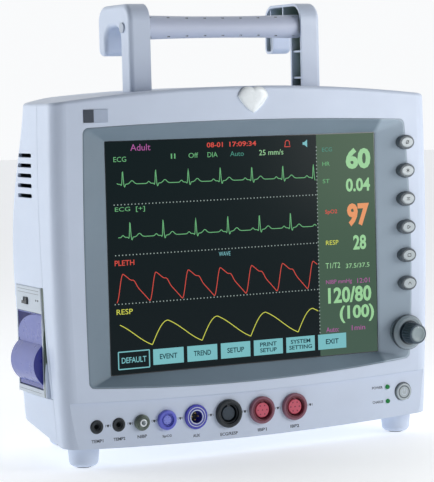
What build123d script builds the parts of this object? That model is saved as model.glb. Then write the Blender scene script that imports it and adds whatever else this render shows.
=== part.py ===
from build123d import *
import math
import os

# Patient monitor: a 12.1 inch bedside monitor with a carrying handle, hook arms and a strip recorder.
# Everything is drawn in millimetres about the middle of the display: +X to the display's right,
# +Y into the case, +Z up. The last lines move it to the middle of the footprint, on the ground.

# ---- driving dimensions ----
SCREEN_W, SCREEN_H = 246.0, 184.5      # active area of a 12.1 inch 4:3 display
FRONT_Y = -10.0                        # front face of the bezel
WALL = 2.8                             # thickness of the moulded cases
GROUND_Z = -164.0                      # the surface that the feet stand on
TOP_MID_Z, TOP_END_Z = 133.8, 122.6    # crowned top: middle, and 180 mm to each side
BASE_MID_Z, BASE_END_Z = -151.4, -145.4
CROWN_HALF = 180.0
BASE_RISE, BASE_RISE_Y = 0.18, 75.0    # the underside climbs to the back as far as this depth
CASE_RAKE = 55.0                       # from the end of the flat side to the back wall
FRONT_ROLL, SIDE_ROLL, BACK_ROLL = 12.0, 30.0, 25.0
BACK_INSET = 42.0                      # the back is this much narrower on each side
# height, half width and end of the side wall, from the bottom of the case to its top
CASE_LEVELS = [
    (-160.0, 165.9, 75.0),
    (-100.0, 169.1, 80.3),
    (-40.0, 171.2, 83.5),
    (10.0, 172.1, 84.0),
    (60.0, 172.1, 74.0),
    (140.0, 170.4, 56.0),
]
# the parting line of the two cases, depth against height
SEAM = [
    (8.5, -220.0), (9.5, -143.0), (10.3, -113.0), (18.0, -22.0), (20.0, 30.0), (21.0, 123.0), (22.0, 220.0),
]
SEAM_GAP = 0.3

# front
GLASS_T = 1.8
PANEL_TOP_Z, PANEL_TOP_MID_Z = -110.0, -114.0
PANEL_DEPTH = 1.8
SOCKET_Z = -130.3
KEY_X, KEY_TOP_Z, KEY_PITCH, KEY_COUNT = 148.0, 83.6, 23.8, 6
KEY_W, KEY_H = 12.0, 8.6
KEY_RING_W, KEY_RING_H = 15.5, 12.0
KNOB_X, KNOB_Z = 146.0, -77.0
KNOB_R, KNOB_FRONT_Y, KNOB_BACK_Y = 9.0, -28.5, -15.8
KNOB_RING_R, KNOB_RING_Y = 14.8, -15.0
SHAFT_R, SHAFT_FIT, PLUNGER_R = 3.0, 0.03, 4.4
POWER_X, POWER_Z, POWER_R = 141.8, -127.6, 7.2
LED_X, LED_Z = 126.5, (-122.2, -134.3)
LAMP_X, LAMP_W, LAMP_BASE_Z, LAMP_TOP_Z = 4.0, 27.0, 112.0, 133.0
BADGE = (-144.7, -124.3, 108.0, 118.0)

# handle
ARM_IN, ARM_OUT, ARM_WALL = 69.5, 88.0, 2.2
ARM_FRONT, ARM_BACK, ARM_TOP, ARM_FOOT = 25.0, 88.5, 202.0, 118.0
ARM_EDGE_R, ARM_FOOT_R = 4.2, 6.0      # the outer edges, and the two corners inside the case
POST_BACK, DROP_FRONT, DROP_Z, THROAT_Z = 44.0, 74.0, 161.0, 184.0
GRIP_Y, GRIP_Z, GRIP_R, GRIP_END_R, GRIP_HALF = 38.0, 182.8, 8.8, 9.9, 76.0
TUBE_R = 5.0
NOTCH_PITCH, NOTCH_ANGLE = 16.5, 55.0

# strip recorder, in the left side
REC_X = -172.0
REC_BACK_Y, REC_TOP_Z, REC_LOW_Z = 76.0, -21.5, -108.5
STRIP_W = 4.4
DOOR_Y0, DOOR_Y1, DOOR_TOP_Z, DOOR_AXIS_Z, DOOR_T = 22.8, 73.0, -42.4, -101.0, 2.2
BULGE_R, BULGE_X, BULGE_Z, BULGE_T = 20.0, -159.5, -82.6, 1.7
ROLL_R, ROLL_CORE_R = 15.3, 6.0
PLATEN_R, PLATEN_X, PLATEN_Z = 5.0, -163.0, -52.0

# battery door, in the right side
BAT_Y0, BAT_Y1, BAT_TOP_Z, BAT_AXIS_Z = 24.0, 66.0, -50.0, -107.0
HINGE_PIN_R, HINGE_FIT = 0.9, 0.05

# back
REAR_W, REAR_Z0, REAR_Z1, REAR_Y = 118.0, -124.0, -62.0, 127.0
FAN_X, FAN_Z, FAN_HALF, FAN_DEPTH = 80.0, -93.0, 30.0, 15.0
STAND_X, STAND_Y, STAND_Y_MID, STAND_HOLE_R = 50.0, 17.5, 100.0, 2.0
STAND_Z = -139.5
FOOT_R, FOOT_LOW_R = 13.2, 11.4
FOOT_PLACES = [(-145.0, 9.0), (145.0, 9.0), (-120.0, 112.0), (120.0, 112.0)]

# sockets on the lower panel: place, flange radius, how proud, cavity radius, cavity depth, barrel radius
SOCKETS = {
    "temp_sockets": ([-140.8, -121.9], 5.5, 0.9, 3.2, 14.0, 4.8),
    "hose_fitting": ([-102.1], 6.4, 2.6, 3.0, 12.0, 5.6),
    "spo2_socket": ([-80.3], 8.0, 3.0, 5.4, 9.0, 7.2),
    "aux_socket": ([-54.3], 10.0, 2.0, 5.0, 8.0, 8.6),
    "ecg_socket": ([-24.9], 11.5, 3.2, 8.4, 9.0, 10.2),
    "ibp_sockets": ([5.6, 36.0], 11.2, 3.2, 8.0, 9.0, 10.0),
}
BLOCK_T, BLOCK_STEP = 4.0, 0.8         # contact block at the bottom of a cavity
SOCKET_LEVEL_Y = -9.14                 # the sloping panel's face at the sockets' height
# contact blocks: holes round the middle, their circle and their radius
CONTACTS = {"spo2_socket": (6, 3.2, 0.7), "aux_socket": (4, 2.8, 0.7), "ecg_socket": (8, 5.4, 0.9),
            "ibp_sockets": (6, 4.8, 0.9)}


# ---- small helpers ----
def block(x0, x1, y0, y1, z0, z1):
    """A box given by its six faces."""
    middle = Pos((x0 + x1) / 2, (y0 + y1) / 2, (z0 + z1) / 2)
    return middle * Box(x1 - x0, y1 - y0, z1 - z0)


def rod_y(r, x, z, y0, y1):
    """A cylinder along Y."""
    return Pos(x, (y0 + y1) / 2, z) * Rot(90, 0, 0) * Cylinder(r, y1 - y0)


def rod_x(r, y, z, x0, x1):
    """A cylinder along X."""
    return Pos((x0 + x1) / 2, y, z) * Rot(0, 90, 0) * Cylinder(r, x1 - x0)


def rod_z(r, x, y, z0, z1):
    """A cylinder along Z."""
    return Pos(x, y, (z0 + z1) / 2) * Cylinder(r, z1 - z0)


def from_front(sketch, y0, y1):
    """A sketch in X and Z, made solid from depth y0 to depth y1."""
    return extrude(Plane.XZ.offset(-y0) * sketch, amount=y1 - y0, dir=(0, 1, 0))


def from_side(sketch, x0, x1):
    """A sketch in Y and Z, made solid from x0 to x1."""
    return extrude(Plane.YZ.offset(x0) * sketch, amount=x1 - x0, dir=(1, 0, 0))


def closed(edges):
    """A face from edges that follow each other round."""
    return make_face(Curve() + edges)


def rounded(points, radius):
    """A polygon with every corner rounded; radius is one number or one for each corner."""
    return make_face(FilletPolyline(*points, radius=radius, close=True))


def oval(x, z, w, h, y0, y1):
    """An elliptical peg along Y."""
    return from_front(Pos(x, z) * Ellipse(w / 2, h / 2), y0, y1)


# ---- the case ----
def plan(height, half_w, side_end, inset):
    """Horizontal section of the case at one height."""
    back = side_end + CASE_RAKE - inset
    turn = side_end - 0.3 * inset
    x_back = half_w - BACK_INSET - 0.6 * inset
    x = half_w - inset
    front = FRONT_Y + inset
    points = [(-x, front), (x, front), (x, turn), (x_back, back), (-x_back, back), (-x, turn)]
    radii = [FRONT_ROLL, FRONT_ROLL, SIDE_ROLL, BACK_ROLL, BACK_ROLL, SIDE_ROLL]
    return Pos(0, 0, height) * rounded(points, [r - inset for r in radii])


def crown(end_z, mid_z):
    """The arched line of the top or the base."""
    return ThreePointArc((-CROWN_HALF, end_z), (0, mid_z), (CROWN_HALF, end_z))


def case_solid(inset):
    """The whole case as one lump, its faces moved inwards by the inset."""
    lump = loft([plan(z, w, end, inset) for z, w, end in CASE_LEVELS])
    top = crown(TOP_END_Z - inset, TOP_MID_Z - inset)
    base = crown(BASE_END_Z + inset, BASE_MID_Z + inset)
    side_r = Line(top @ 1, base @ 1)
    side_l = Line(base @ 0, top @ 0)
    lump &= from_front(closed([top, side_r, base, side_l]), FRONT_Y - 10, FRONT_Y + 200)
    floor = -220.0
    under = closed([
        base, Line(base @ 1, (CROWN_HALF, floor)), Line((CROWN_HALF, floor), (-CROWN_HALF, floor)),
        Line((-CROWN_HALF, floor), base @ 0),
    ])
    slope = math.hypot(1.0, BASE_RISE)
    lump -= extrude(Plane.XZ * under, amount=BASE_RISE_Y * slope, dir=(0, 1, BASE_RISE))
    lump -= Pos(0, 0, BASE_RISE * BASE_RISE_Y) * from_front(under, BASE_RISE_Y, BASE_RISE_Y + 100)
    return lump


def ahead_of_seam(shift):
    """Everything in front of the parting line, which is moved back by the shift."""
    line = Spline([(y + shift, z) for y, z in SEAM])
    low, high = line @ 0, line @ 1
    far = -80.0
    corners = [(high.X, high.Y), (far, high.Y), (far, low.Y), (low.X, low.Y)]
    return from_side(closed([line] + [Line(a, b) for a, b in zip(corners, corners[1:])]), -250, 250)


def seam_y(z):
    """Depth of the parting line at a height."""
    for (y0, z0), (y1, z1) in zip(SEAM, SEAM[1:]):
        if z0 <= z <= z1:
            return y0 + (y1 - y0) * (z - z0) / (z1 - z0)


def half_width(z):
    """Half the case's width at a height."""
    for (z0, w0, _), (z1, w1, _) in zip(CASE_LEVELS, CASE_LEVELS[1:]):
        if z0 <= z <= z1:
            return w0 + (w1 - w0) * (z - z0) / (z1 - z0)


def frame_outline(grow):
    """The bowed outline of the grey frame round the display."""
    g = grow
    tl, tr = (-145.6 - g, 103.6 + g), (146.6 + g, 103.0 + g)
    br, bl = (148.4 + g, -98.8 - g), (-146.2 - g, -99.4 - g)
    edges = [
        ThreePointArc(tl, (0, 106.6 + g), tr),
        ThreePointArc(tr, (151.7 + g, 8), br),
        ThreePointArc(br, (0, -106.0 - g), bl),
        ThreePointArc(bl, (-147.3 - g, 4), tl),
    ]
    face = closed(edges)
    return fillet(face.vertices(), 5.0)


def heart(grow):
    """The outline of the alarm lamp: two lobes that meet in a point."""
    w, low, high = LAMP_W / 2 + grow, LAMP_BASE_Z - grow, LAMP_TOP_Z + grow
    lobe = w / 2
    shoulder = high - lobe
    right = [
        ThreePointArc((LAMP_X, shoulder + 0.6 * lobe), (LAMP_X + lobe, high),
                      (LAMP_X + w, shoulder - 0.1 * lobe)),
        ThreePointArc((LAMP_X + w, shoulder - 0.1 * lobe), (LAMP_X + 0.66 * w, shoulder - 0.95 * lobe),
                      (LAMP_X, low)),
    ]
    left = [
        ThreePointArc((LAMP_X, low), (LAMP_X - 0.66 * w, shoulder - 0.95 * lobe),
                      (LAMP_X - w, shoulder - 0.1 * lobe)),
        ThreePointArc((LAMP_X - w, shoulder - 0.1 * lobe), (LAMP_X - lobe, high),
                      (LAMP_X, shoulder + 0.6 * lobe)),
    ]
    return closed(right + left)


def panel_recess():
    """The wedge that sinks the connector panel, deepest along its top edge."""
    low = -152.0
    top = ThreePointArc((-162.6, PANEL_TOP_Z), (0, PANEL_TOP_MID_Z), (162.6, PANEL_TOP_Z))
    outline = closed([top, Line((162.6, PANEL_TOP_Z), (159.5, low)), Line((159.5, low), (-159.5, low)),
                      Line((-159.5, low), (-162.6, PANEL_TOP_Z))])
    wedge = make_face(Polyline((FRONT_Y - 5, -100), (FRONT_Y + PANEL_DEPTH + 0.4, -100), (FRONT_Y, -149),
                               (FRONT_Y - 5, -149), close=True))
    return from_front(outline, FRONT_Y - 5, FRONT_Y + 5) & from_side(wedge, -200, 200)


def key_heights():
    """Heights of the soft keys, from the top one down."""
    return [KEY_TOP_Z - i * KEY_PITCH for i in range(KEY_COUNT)]


def side_slots(sign):
    """The five cooling slots of one side."""
    cut = Part()
    for z in (82.8, 74.8, 66.8, 58.8, 50.8):
        slot = Pos(49.0, z) * SlotOverall(30.0, 3.2)
        cut += from_side(slot, *sorted((sign * 160, sign * 180)))
    return cut


def battery_axis_x():
    """The battery door's hinge line lies in the middle of the side wall."""
    return half_width(BAT_AXIS_Z) - WALL / 2


def battery_opening(grow):
    """The space that the battery door fills."""
    return block(150, 190, BAT_Y0 - grow, BAT_Y1 + grow, BAT_AXIS_Z - WALL / 2 - grow, BAT_TOP_Z + grow)


def recorder_outline(grow):
    """Side outline of the recorder's surround; its front edge leans with the parting line."""
    front_top = seam_y(REC_TOP_Z) + STRIP_W + 0.6
    front_low = seam_y(REC_LOW_Z) + STRIP_W + 0.6
    g = grow
    return make_face(Polyline((front_top - g, REC_TOP_Z + g), (REC_BACK_Y + g, REC_TOP_Z + g),
                              (REC_BACK_Y + g, REC_LOW_Z - g), (front_low - g, REC_LOW_Z - g), close=True))


def strip_outline(grow):
    """Side outline of the dark trim strip behind the parting line."""
    edge = [(seam_y(z) + SEAM_GAP, z) for z in (REC_TOP_Z, REC_LOW_Z)]
    (y0, z0), (y1, z1) = edge
    g = grow
    ahead = 5 * g
    return make_face(Polyline((y0 - ahead, z0 + g), (y0 + STRIP_W + g, z0 + g), (y1 + STRIP_W + g, z1 - g),
                              (y1 - ahead, z1 - g), close=True))


def screw_places():
    """The case screws on the back: across, height."""
    return [(x, z) for x in (-108.0, 108.0) for z in (88.0, -40.0)]


def back_y(z):
    """Depth of the back wall at a height."""
    for (z0, _, e0), (z1, _, e1) in zip(CASE_LEVELS, CASE_LEVELS[1:]):
        if z0 <= z <= z1:
            return e0 + (e1 - e0) * (z - z0) / (z1 - z0) + CASE_RAKE


OUTER = case_solid(0.0)
top_loop = [e for e in OUTER.edges() if e.center().Z > TOP_END_Z - 2]
OUTER = fillet(top_loop, 3.0)
INNER = case_solid(WALL)
SHELL = OUTER - INNER


def front_bezel():
    bezel = SHELL & ahead_of_seam(0.0)
    bezel -= from_front(frame_outline(0.15), FRONT_Y - 5, FRONT_Y + 8)
    bezel -= panel_recess()
    for places, flange_r, _, _, _, barrel_r in SOCKETS.values():
        for x in places:
            bezel -= rod_y(barrel_r + 0.1, x, SOCKET_Z, FRONT_Y - 5, FRONT_Y + 6)
    for z in key_heights():
        bezel -= oval(KEY_X, z, KEY_RING_W + 0.2, KEY_RING_H + 0.2, FRONT_Y - 5, FRONT_Y + 6)
    bezel -= rod_y(KNOB_RING_R - 2.0, KNOB_X, KNOB_Z, FRONT_Y - 5, FRONT_Y + 6)
    bezel -= rod_y(POWER_R + 0.25, POWER_X, POWER_Z, FRONT_Y - 5, FRONT_Y + 6)
    for z in LED_Z:
        bezel -= rod_y(1.95, LED_X, z, FRONT_Y - 5, FRONT_Y + 6)
    bezel -= from_front(heart(0.1), FRONT_Y - 5, FRONT_Y + 1.4)
    bezel -= rod_y(6.0, LAMP_X, 121.0, FRONT_Y, FRONT_Y + 6)
    x0, x1, z0, z1 = BADGE
    bezel -= block(x0 - 0.1, x1 + 0.1, FRONT_Y - 1, FRONT_Y + 0.8, z0 - 0.1, z1 + 0.1)
    return bezel


def rear_case():
    case = SHELL - ahead_of_seam(SEAM_GAP)
    case += (INNER - case_solid(WALL + 1.5)) & (ahead_of_seam(6.0) - ahead_of_seam(-4.0))
    collar = block(-REAR_W - 3, REAR_W + 3, REAR_Y + 2, REAR_Y + 30, REAR_Z0 - 3, REAR_Z1 + 3) & OUTER
    case += collar
    case -= block(-REAR_W, REAR_W, REAR_Y - 3, REAR_Y + 30, REAR_Z0, REAR_Z1)
    for x, z in screw_places():
        case += rod_y(6.0, x, z, back_y(z) - 26, back_y(z) + 8) & OUTER
        case -= rod_y(4.2, x, z, back_y(z) - 3.0, back_y(z) + 8)
        case -= rod_y(2.05, x, z, back_y(z) - 30, back_y(z) + 8)
    pad = block(-STAND_X - 12, STAND_X + 12, STAND_Y_MID - STAND_Y - 9, STAND_Y_MID + STAND_Y + 9, STAND_Z,
                STAND_Z + 6)
    case += pad
    for x in (-STAND_X, STAND_X):
        for y in (STAND_Y_MID - STAND_Y, STAND_Y_MID + STAND_Y):
            case += rod_z(5.0, x, y, STAND_Z + 2, STAND_Z + 14)
            case -= rod_z(STAND_HOLE_R, x, y, STAND_Z - 1, STAND_Z + 10)
    for sign in (-1, 1):
        case -= side_slots(sign)
        case -= arm_lump(sign, 0.2)
    case -= from_side(recorder_outline(0.15), -190, -150)
    case -= from_side(strip_outline(0.4), -190, -150)
    case -= battery_opening(0.3)
    pin_r = HINGE_PIN_R + HINGE_FIT
    case -= rod_y(pin_r, battery_axis_x(), BAT_AXIS_Z, BAT_Y0 - 2.4, BAT_Y1 + 2.4)
    return case


def side_strip():
    trim = OUTER - case_solid(WALL - 0.6)
    return trim & from_side(strip_outline(0.0), -190, -150)


# ---- display ----
def screen_frame():
    body = from_front(frame_outline(0.0), FRONT_Y, 2.5)
    mouth = Plane.XZ.offset(-FRONT_Y) * frame_outline(-1.2)
    inner = fillet(Rectangle(SCREEN_W + 1, SCREEN_H + 1).vertices(), 1.5)
    body -= loft([mouth, Plane.XZ * inner])
    body -= from_front(Rectangle(SCREEN_W + 1, SCREEN_H + 1), -1, 4)
    body -= from_front(Rectangle(SCREEN_W + 6.6, SCREEN_H + 6.6), 0, 4)
    for z in key_heights():
        body -= oval(KEY_X, z, KEY_RING_W + 0.2, KEY_RING_H + 0.2, FRONT_Y - 5, FRONT_Y + 16)
    body -= rod_y(KNOB_RING_R - 2.0, KNOB_X, KNOB_Z, FRONT_Y - 5, FRONT_Y + 16)
    return body


def screen_glass():
    return from_front(Rectangle(SCREEN_W + 6, SCREEN_H + 6), 0, GLASS_T)


def lcd_panel():
    return from_front(fillet(Rectangle(262, 198).vertices(), 2.0), 2.8, 10.8)


def lcd_bracket():
    plate = from_front(Rectangle(268, 204) - Rectangle(200, 140), 11.0, 12.5)
    for x in (-125, 125):
        for z in (-96, 96):
            plate -= rod_y(2.2, x, z, 10, 14)
    return plate


# ---- soft keys, knob, power button, lamps ----
def key_surrounds():
    rings = []
    for z in key_heights():
        ring = oval(KEY_X, z, KEY_RING_W, KEY_RING_H, -12.6, 2.0)
        ring = chamfer(ring.faces().sort_by(Axis.Y)[0].edges(), 0.9)
        ring -= oval(KEY_X, z, KEY_W + 0.5, KEY_H + 0.5, -14, 3)
        rings.append(ring)
    return Compound(children=rings)


def soft_key(z):
    key = oval(KEY_X, z, KEY_W, KEY_H, -13.4, 1.2)
    return fillet(key.faces().sort_by(Axis.Y)[0].edges(), 0.9)


def keypad_board():
    board = block(136, 160, 4.0, 5.6, -98, 95)
    board -= rod_y(PLUNGER_R + 0.6, KNOB_X, KNOB_Z, 3, 7)
    for z in key_heights():
        board += rod_y(2.5, KEY_X, z, 2.8, 4.2)
    return board


def knob_ring():
    ring = rod_y(KNOB_RING_R, KNOB_X, KNOB_Z, KNOB_RING_Y, FRONT_Y)
    ring = chamfer(ring.faces().sort_by(Axis.Y)[0].edges(), 2.4)
    ring += rod_y(KNOB_RING_R - 2.2, KNOB_X, KNOB_Z, FRONT_Y, 2.0)
    ring -= rod_y(6.0, KNOB_X, KNOB_Z, KNOB_RING_Y - 1, 3)
    return ring


def knob():
    cap = rod_y(KNOB_R, KNOB_X, KNOB_Z, KNOB_FRONT_Y, KNOB_BACK_Y)
    cap = fillet(cap.faces().sort_by(Axis.Y)[0].edges(), 1.4)
    flutes = 18
    for i in range(flutes):
        a = 2 * math.pi * i / flutes
        x, z = KNOB_X + (KNOB_R + 0.5) * math.cos(a), KNOB_Z + (KNOB_R + 0.5) * math.sin(a)
        cap -= rod_y(0.9, x, z, KNOB_FRONT_Y + 2.2, KNOB_BACK_Y + 1)
    cap += rod_y(5.4, KNOB_X, KNOB_Z, KNOB_BACK_Y, -9.0)
    cap -= rod_y(SHAFT_R, KNOB_X, KNOB_Z, KNOB_FRONT_Y + 3, -8.0)
    return cap


def encoder_shaft():
    return rod_y(SHAFT_R, KNOB_X, KNOB_Z, KNOB_FRONT_Y + 3, 11.0)


def encoder_plunger():
    sleeve = rod_y(PLUNGER_R, KNOB_X, KNOB_Z, -1.0, 9.0)
    return sleeve - rod_y(SHAFT_R + SHAFT_FIT, KNOB_X, KNOB_Z, -2, 10)


def encoder_body():
    body = block(KNOB_X - 6.5, KNOB_X + 6.5, 5.8, 16.0, KNOB_Z - 6.5, KNOB_Z + 6.5)
    return body - rod_y(PLUNGER_R + 0.05, KNOB_X, KNOB_Z, 5, 14)


def power_button():
    button = rod_y(POWER_R, POWER_X, POWER_Z, -11.2, 0.0)
    return fillet(button.faces().sort_by(Axis.Y)[0].edges(), 1.0)


def status_leds():
    lamps = []
    for z in LED_Z:
        lamp = rod_y(1.85, LED_X, z, -10.6, -3.0)
        lamps.append(fillet(lamp.faces().sort_by(Axis.Y)[0].edges(), 0.8))
    return Compound(children=lamps)


def lamp_lens():
    lens = from_front(heart(0.0), -13.0, -8.7)
    return chamfer(lens.faces().sort_by(Axis.Y)[0].edges(), 0.8)


def badge_plate():
    x0, x1, z0, z1 = BADGE
    return block(x0, x1, -10.5, -9.3, z0, z1)


# ---- sockets ----
def socket_group(name):
    places, flange_r, proud, cavity_r, depth, barrel_r = SOCKETS[name]
    front = SOCKET_LEVEL_Y - proud
    bodies = []
    for x in places:
        body = rod_y(flange_r, x, SOCKET_Z, front, SOCKET_LEVEL_Y + 0.05)
        body = chamfer(body.faces().sort_by(Axis.Y)[0].edges(), 0.6)
        body += rod_y(barrel_r, x, SOCKET_Z, SOCKET_LEVEL_Y, front + depth + BLOCK_T + 1.5)
        body -= LOWER_PANEL
        body -= rod_y(cavity_r, x, SOCKET_Z, front - 1, front + depth)
        if name in CONTACTS:
            body -= rod_y(cavity_r - BLOCK_STEP, x, SOCKET_Z, front, front + depth + BLOCK_T)
        bodies.append(body)
    return bodies[0] if len(bodies) == 1 else Compound(children=bodies)


def contact_blocks():
    discs = []
    for name, (count, circle, hole_r) in CONTACTS.items():
        places, _, proud, cavity_r, depth, _ = SOCKETS[name]
        base = SOCKET_LEVEL_Y - proud + depth
        for x in places:
            disc = rod_y(cavity_r - BLOCK_STEP, x, SOCKET_Z, base, base + BLOCK_T)
            for i in range(count):
                a = 2 * math.pi * i / count
                cx, cz = x + circle * math.cos(a), SOCKET_Z + circle * math.sin(a)
                disc -= rod_y(hole_r, cx, cz, base - 1, base + BLOCK_T - 1)
            discs.append(disc)
    return Compound(children=discs)


# ---- handle ----
def arm_profile(inset):
    """Side outline of a hook arm: a post, an arched top and a drop end behind the throat."""
    i = inset
    foot_r = 0.5 if inset > 0 else ARM_FOOT_R
    points = [
        (ARM_FRONT + i, ARM_FOOT - i), (ARM_FRONT + i, ARM_TOP - i), (ARM_BACK - i, ARM_TOP - i),
        (ARM_BACK - i, DROP_Z + i), (DROP_FRONT + i, DROP_Z + i), (DROP_FRONT + i, THROAT_Z + i),
        (POST_BACK - i, THROAT_Z + i), (POST_BACK - i, ARM_FOOT - i),
    ]
    radii = [foot_r, 14 - i, 13 - i, 5 - i, 5 - i, 11 + i, 11 + i, foot_r]
    return rounded(points, radii)


def arm_lump(sign, grow):
    """A whole arm with its outer edges rounded, made larger by the growth all round."""
    lump = from_side(arm_profile(-grow), *sorted((sign * (ARM_IN - grow), sign * (ARM_OUT + grow))))
    outer = lump.faces().sort_by(Axis.X)[-1 if sign > 0 else 0]
    return fillet(outer.edges(), ARM_EDGE_R + grow)


def handle_arm(sign):
    x_in = sign * ARM_IN
    arm = arm_lump(sign, 0.0)
    floor_x = sign * (ARM_OUT - 2.6)
    hollow = from_side(arm_profile(ARM_WALL), *sorted((x_in - sign, floor_x)))
    rib = 1.6
    x0, x1 = sorted((sign * (ARM_IN + 1.5), sign * ARM_OUT))
    ribs = block(x0, x1, ARM_FRONT, POST_BACK, 161, 161 + rib)
    ribs += block(x0, x1, ARM_FRONT, POST_BACK, 139, 139 + rib)
    ribs += block(x0, x1, 58, 58 + rib, THROAT_Z, ARM_TOP) + block(x0, x1, 80, 80 + rib, DROP_Z, ARM_TOP)
    ribs += rod_x(TUBE_R + 2.2, GRIP_Y, GRIP_Z, *sorted((sign * (GRIP_HALF + 1.0), sign * ARM_OUT)))
    arm = (arm - hollow) + (ribs & arm)
    arm -= rod_x(GRIP_END_R + 0.25, GRIP_Y, GRIP_Z, *sorted((sign * (ARM_IN - 1), sign * (GRIP_HALF + 0.6))))
    arm -= rod_x(TUBE_R, GRIP_Y, GRIP_Z, *sorted((sign * (ARM_IN - 1), floor_x)))
    arm -= rod_x(2.1, GRIP_Y, GRIP_Z, *sorted((sign * ARM_IN, sign * (ARM_OUT + 1))))
    return arm


def grip_solid():
    """The whole hand grip, slimmest in the middle and domed at its ends."""
    x_end, dome, bore = GRIP_HALF, 4.0, TUBE_R + 0.02
    cut = dome * (1 - math.sqrt(0.5))
    profile = closed([
        Line((-x_end, bore), (-x_end, GRIP_END_R - dome)),
        ThreePointArc((-x_end, GRIP_END_R - dome), (-x_end + cut, GRIP_END_R - cut),
                      (-x_end + dome, GRIP_END_R)),
        Spline((-x_end + dome, GRIP_END_R), (0, GRIP_R), (x_end - dome, GRIP_END_R)),
        ThreePointArc((x_end - dome, GRIP_END_R), (x_end - cut, GRIP_END_R - cut),
                      (x_end, GRIP_END_R - dome)),
        Line((x_end, GRIP_END_R - dome), (x_end, bore)),
        Line((x_end, bore), (-x_end, bore)),
    ])
    return Pos(0, GRIP_Y, GRIP_Z) * revolve(profile, Axis.X)


def grip_shell(sign):
    """One half of the grip, with two rows of small notches in its face."""
    half = block(-90, 90, *sorted((GRIP_Y + sign * 0.1, GRIP_Y + sign * 20)), GRIP_Z - 20, GRIP_Z + 20)
    shell = grip_solid() & half
    for side in (-1, 1):
        a = math.radians(NOTCH_ANGLE) * side
        for i in range(-4, 5):
            y = GRIP_Y + sign * math.cos(a) * (GRIP_R + 0.2)
            z = GRIP_Z + math.sin(a) * (GRIP_R + 0.2)
            shell -= Pos(i * NOTCH_PITCH, y, z) * Box(2.4, 1.4, 1.4)
    return shell


def grip_tube():
    end = ARM_OUT - 2.6
    tube = rod_x(TUBE_R, GRIP_Y, GRIP_Z, -end, end)
    return tube - rod_x(2.0, GRIP_Y, GRIP_Z, -end - 1, end + 1)


def arm_screws():
    screws = []
    for sign in (-1, 1):
        head = rod_x(4.2, GRIP_Y, GRIP_Z, *sorted((sign * ARM_OUT, sign * (ARM_OUT + 1.2))))
        shank = rod_x(2.0, GRIP_Y, GRIP_Z, *sorted((sign * (ARM_OUT - 12), sign * ARM_OUT)))
        screws.append(head + shank)
    return Compound(children=screws)


# ---- recorder ----
def door_axis_x():
    return REC_X + 0.5 + DOOR_T / 2


def recorder_frame():
    frame = from_side(recorder_outline(0.0), REC_X, -163.0)
    frame = chamfer(frame.faces().sort_by(Axis.X)[0].edges(), 0.8)
    frame -= block(-190, -150, DOOR_Y0 - 0.5, DOOR_Y1 + 0.5, DOOR_AXIS_Z - DOOR_T / 2 - 0.5, DOOR_TOP_Z + 0.5)
    frame -= block(-190, -150, 50.0, 61.0, -36.4, -30.6)
    pin_r = HINGE_PIN_R + HINGE_FIT
    frame -= rod_y(pin_r, door_axis_x(), DOOR_AXIS_Z, DOOR_Y0 - 2.6, DOOR_Y1 + 2.2)
    return frame


def recorder_door():
    x0 = REC_X + 0.5
    plate = block(x0, x0 + DOOR_T, DOOR_Y0, DOOR_Y1, DOOR_AXIS_Z, DOOR_TOP_Z)
    plate += rod_y(DOOR_T / 2, door_axis_x(), DOOR_AXIS_Z, DOOR_Y0, DOOR_Y1)
    window = block(-200, x0 + DOOR_T, DOOR_Y0, DOOR_Y1, DOOR_AXIS_Z + 2, DOOR_TOP_Z)
    door = plate + (rod_y(BULGE_R, BULGE_X, BULGE_Z, DOOR_Y0, DOOR_Y1) & window)
    door -= rod_y(BULGE_R - BULGE_T, BULGE_X, BULGE_Z, DOOR_Y0 + 1.2, DOOR_Y1 - 1.2)
    door += rod_y(HINGE_PIN_R, door_axis_x(), DOOR_AXIS_Z, DOOR_Y0 - 2.0, DOOR_Y1 + 2.0)
    return door


def recorder_tray():
    outer = block(-162.9, -118, 20.4, 75.4, -106, -41)
    inner = block(-170, -120, 21.9, 73.9, -104.4, -42.6)
    cradle = block(-162.9, -140, 22.2, 73.6, -104.4, -92)
    cradle -= rod_y(ROLL_R + 0.4, BULGE_X, BULGE_Z, 20, 76)
    tray = (outer - inner) + cradle
    tray -= rod_y(2.05, PLATEN_X + 3.0, PLATEN_Z, 19, 77)
    return tray


def platen_roller():
    x = PLATEN_X + 3.0
    roller = rod_y(PLATEN_R, x, PLATEN_Z, 23.6, 72.2)
    return roller + rod_y(2.0, x, PLATEN_Z, 20.6, 75.2)


def paper_roll():
    roll = rod_y(ROLL_R, BULGE_X, BULGE_Z, 24.4, 71.4)
    return roll - rod_y(ROLL_CORE_R, BULGE_X, BULGE_Z, 20, 76)


def print_head():
    x = PLATEN_X + 3.0 + PLATEN_R + 0.3
    bar = block(x, x + 4, 24, 72, PLATEN_Z - 4, PLATEN_Z + 4)
    return bar + block(x + 4, -120, 30, 66, PLATEN_Z - 2, PLATEN_Z + 2)


def recorder_latch():
    upright = block(REC_X - 1.4, -164, 50.4, 53.0, -36.0, -31.0)
    return upright + block(REC_X - 1.4, -164, 53.0, 57.0, -36.0, -33.6)


# ---- battery ----
def battery_door():
    door = SHELL & battery_opening(0.0)
    axis_x = battery_axis_x()
    door -= block(150, 190, BAT_Y0 - 1, BAT_Y1 + 1, BAT_AXIS_Z - 5, BAT_AXIS_Z)
    door += rod_y(WALL / 2, axis_x, BAT_AXIS_Z, BAT_Y0, BAT_Y1)
    door += rod_y(HINGE_PIN_R, axis_x, BAT_AXIS_Z, BAT_Y0 - 2.0, BAT_Y1 + 2.0)
    return door


def battery_pack():
    pack = block(96, 162, 28, 62, -102, -54)
    return fillet(pack.edges().filter_by(Axis.X), 3.0)


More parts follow.
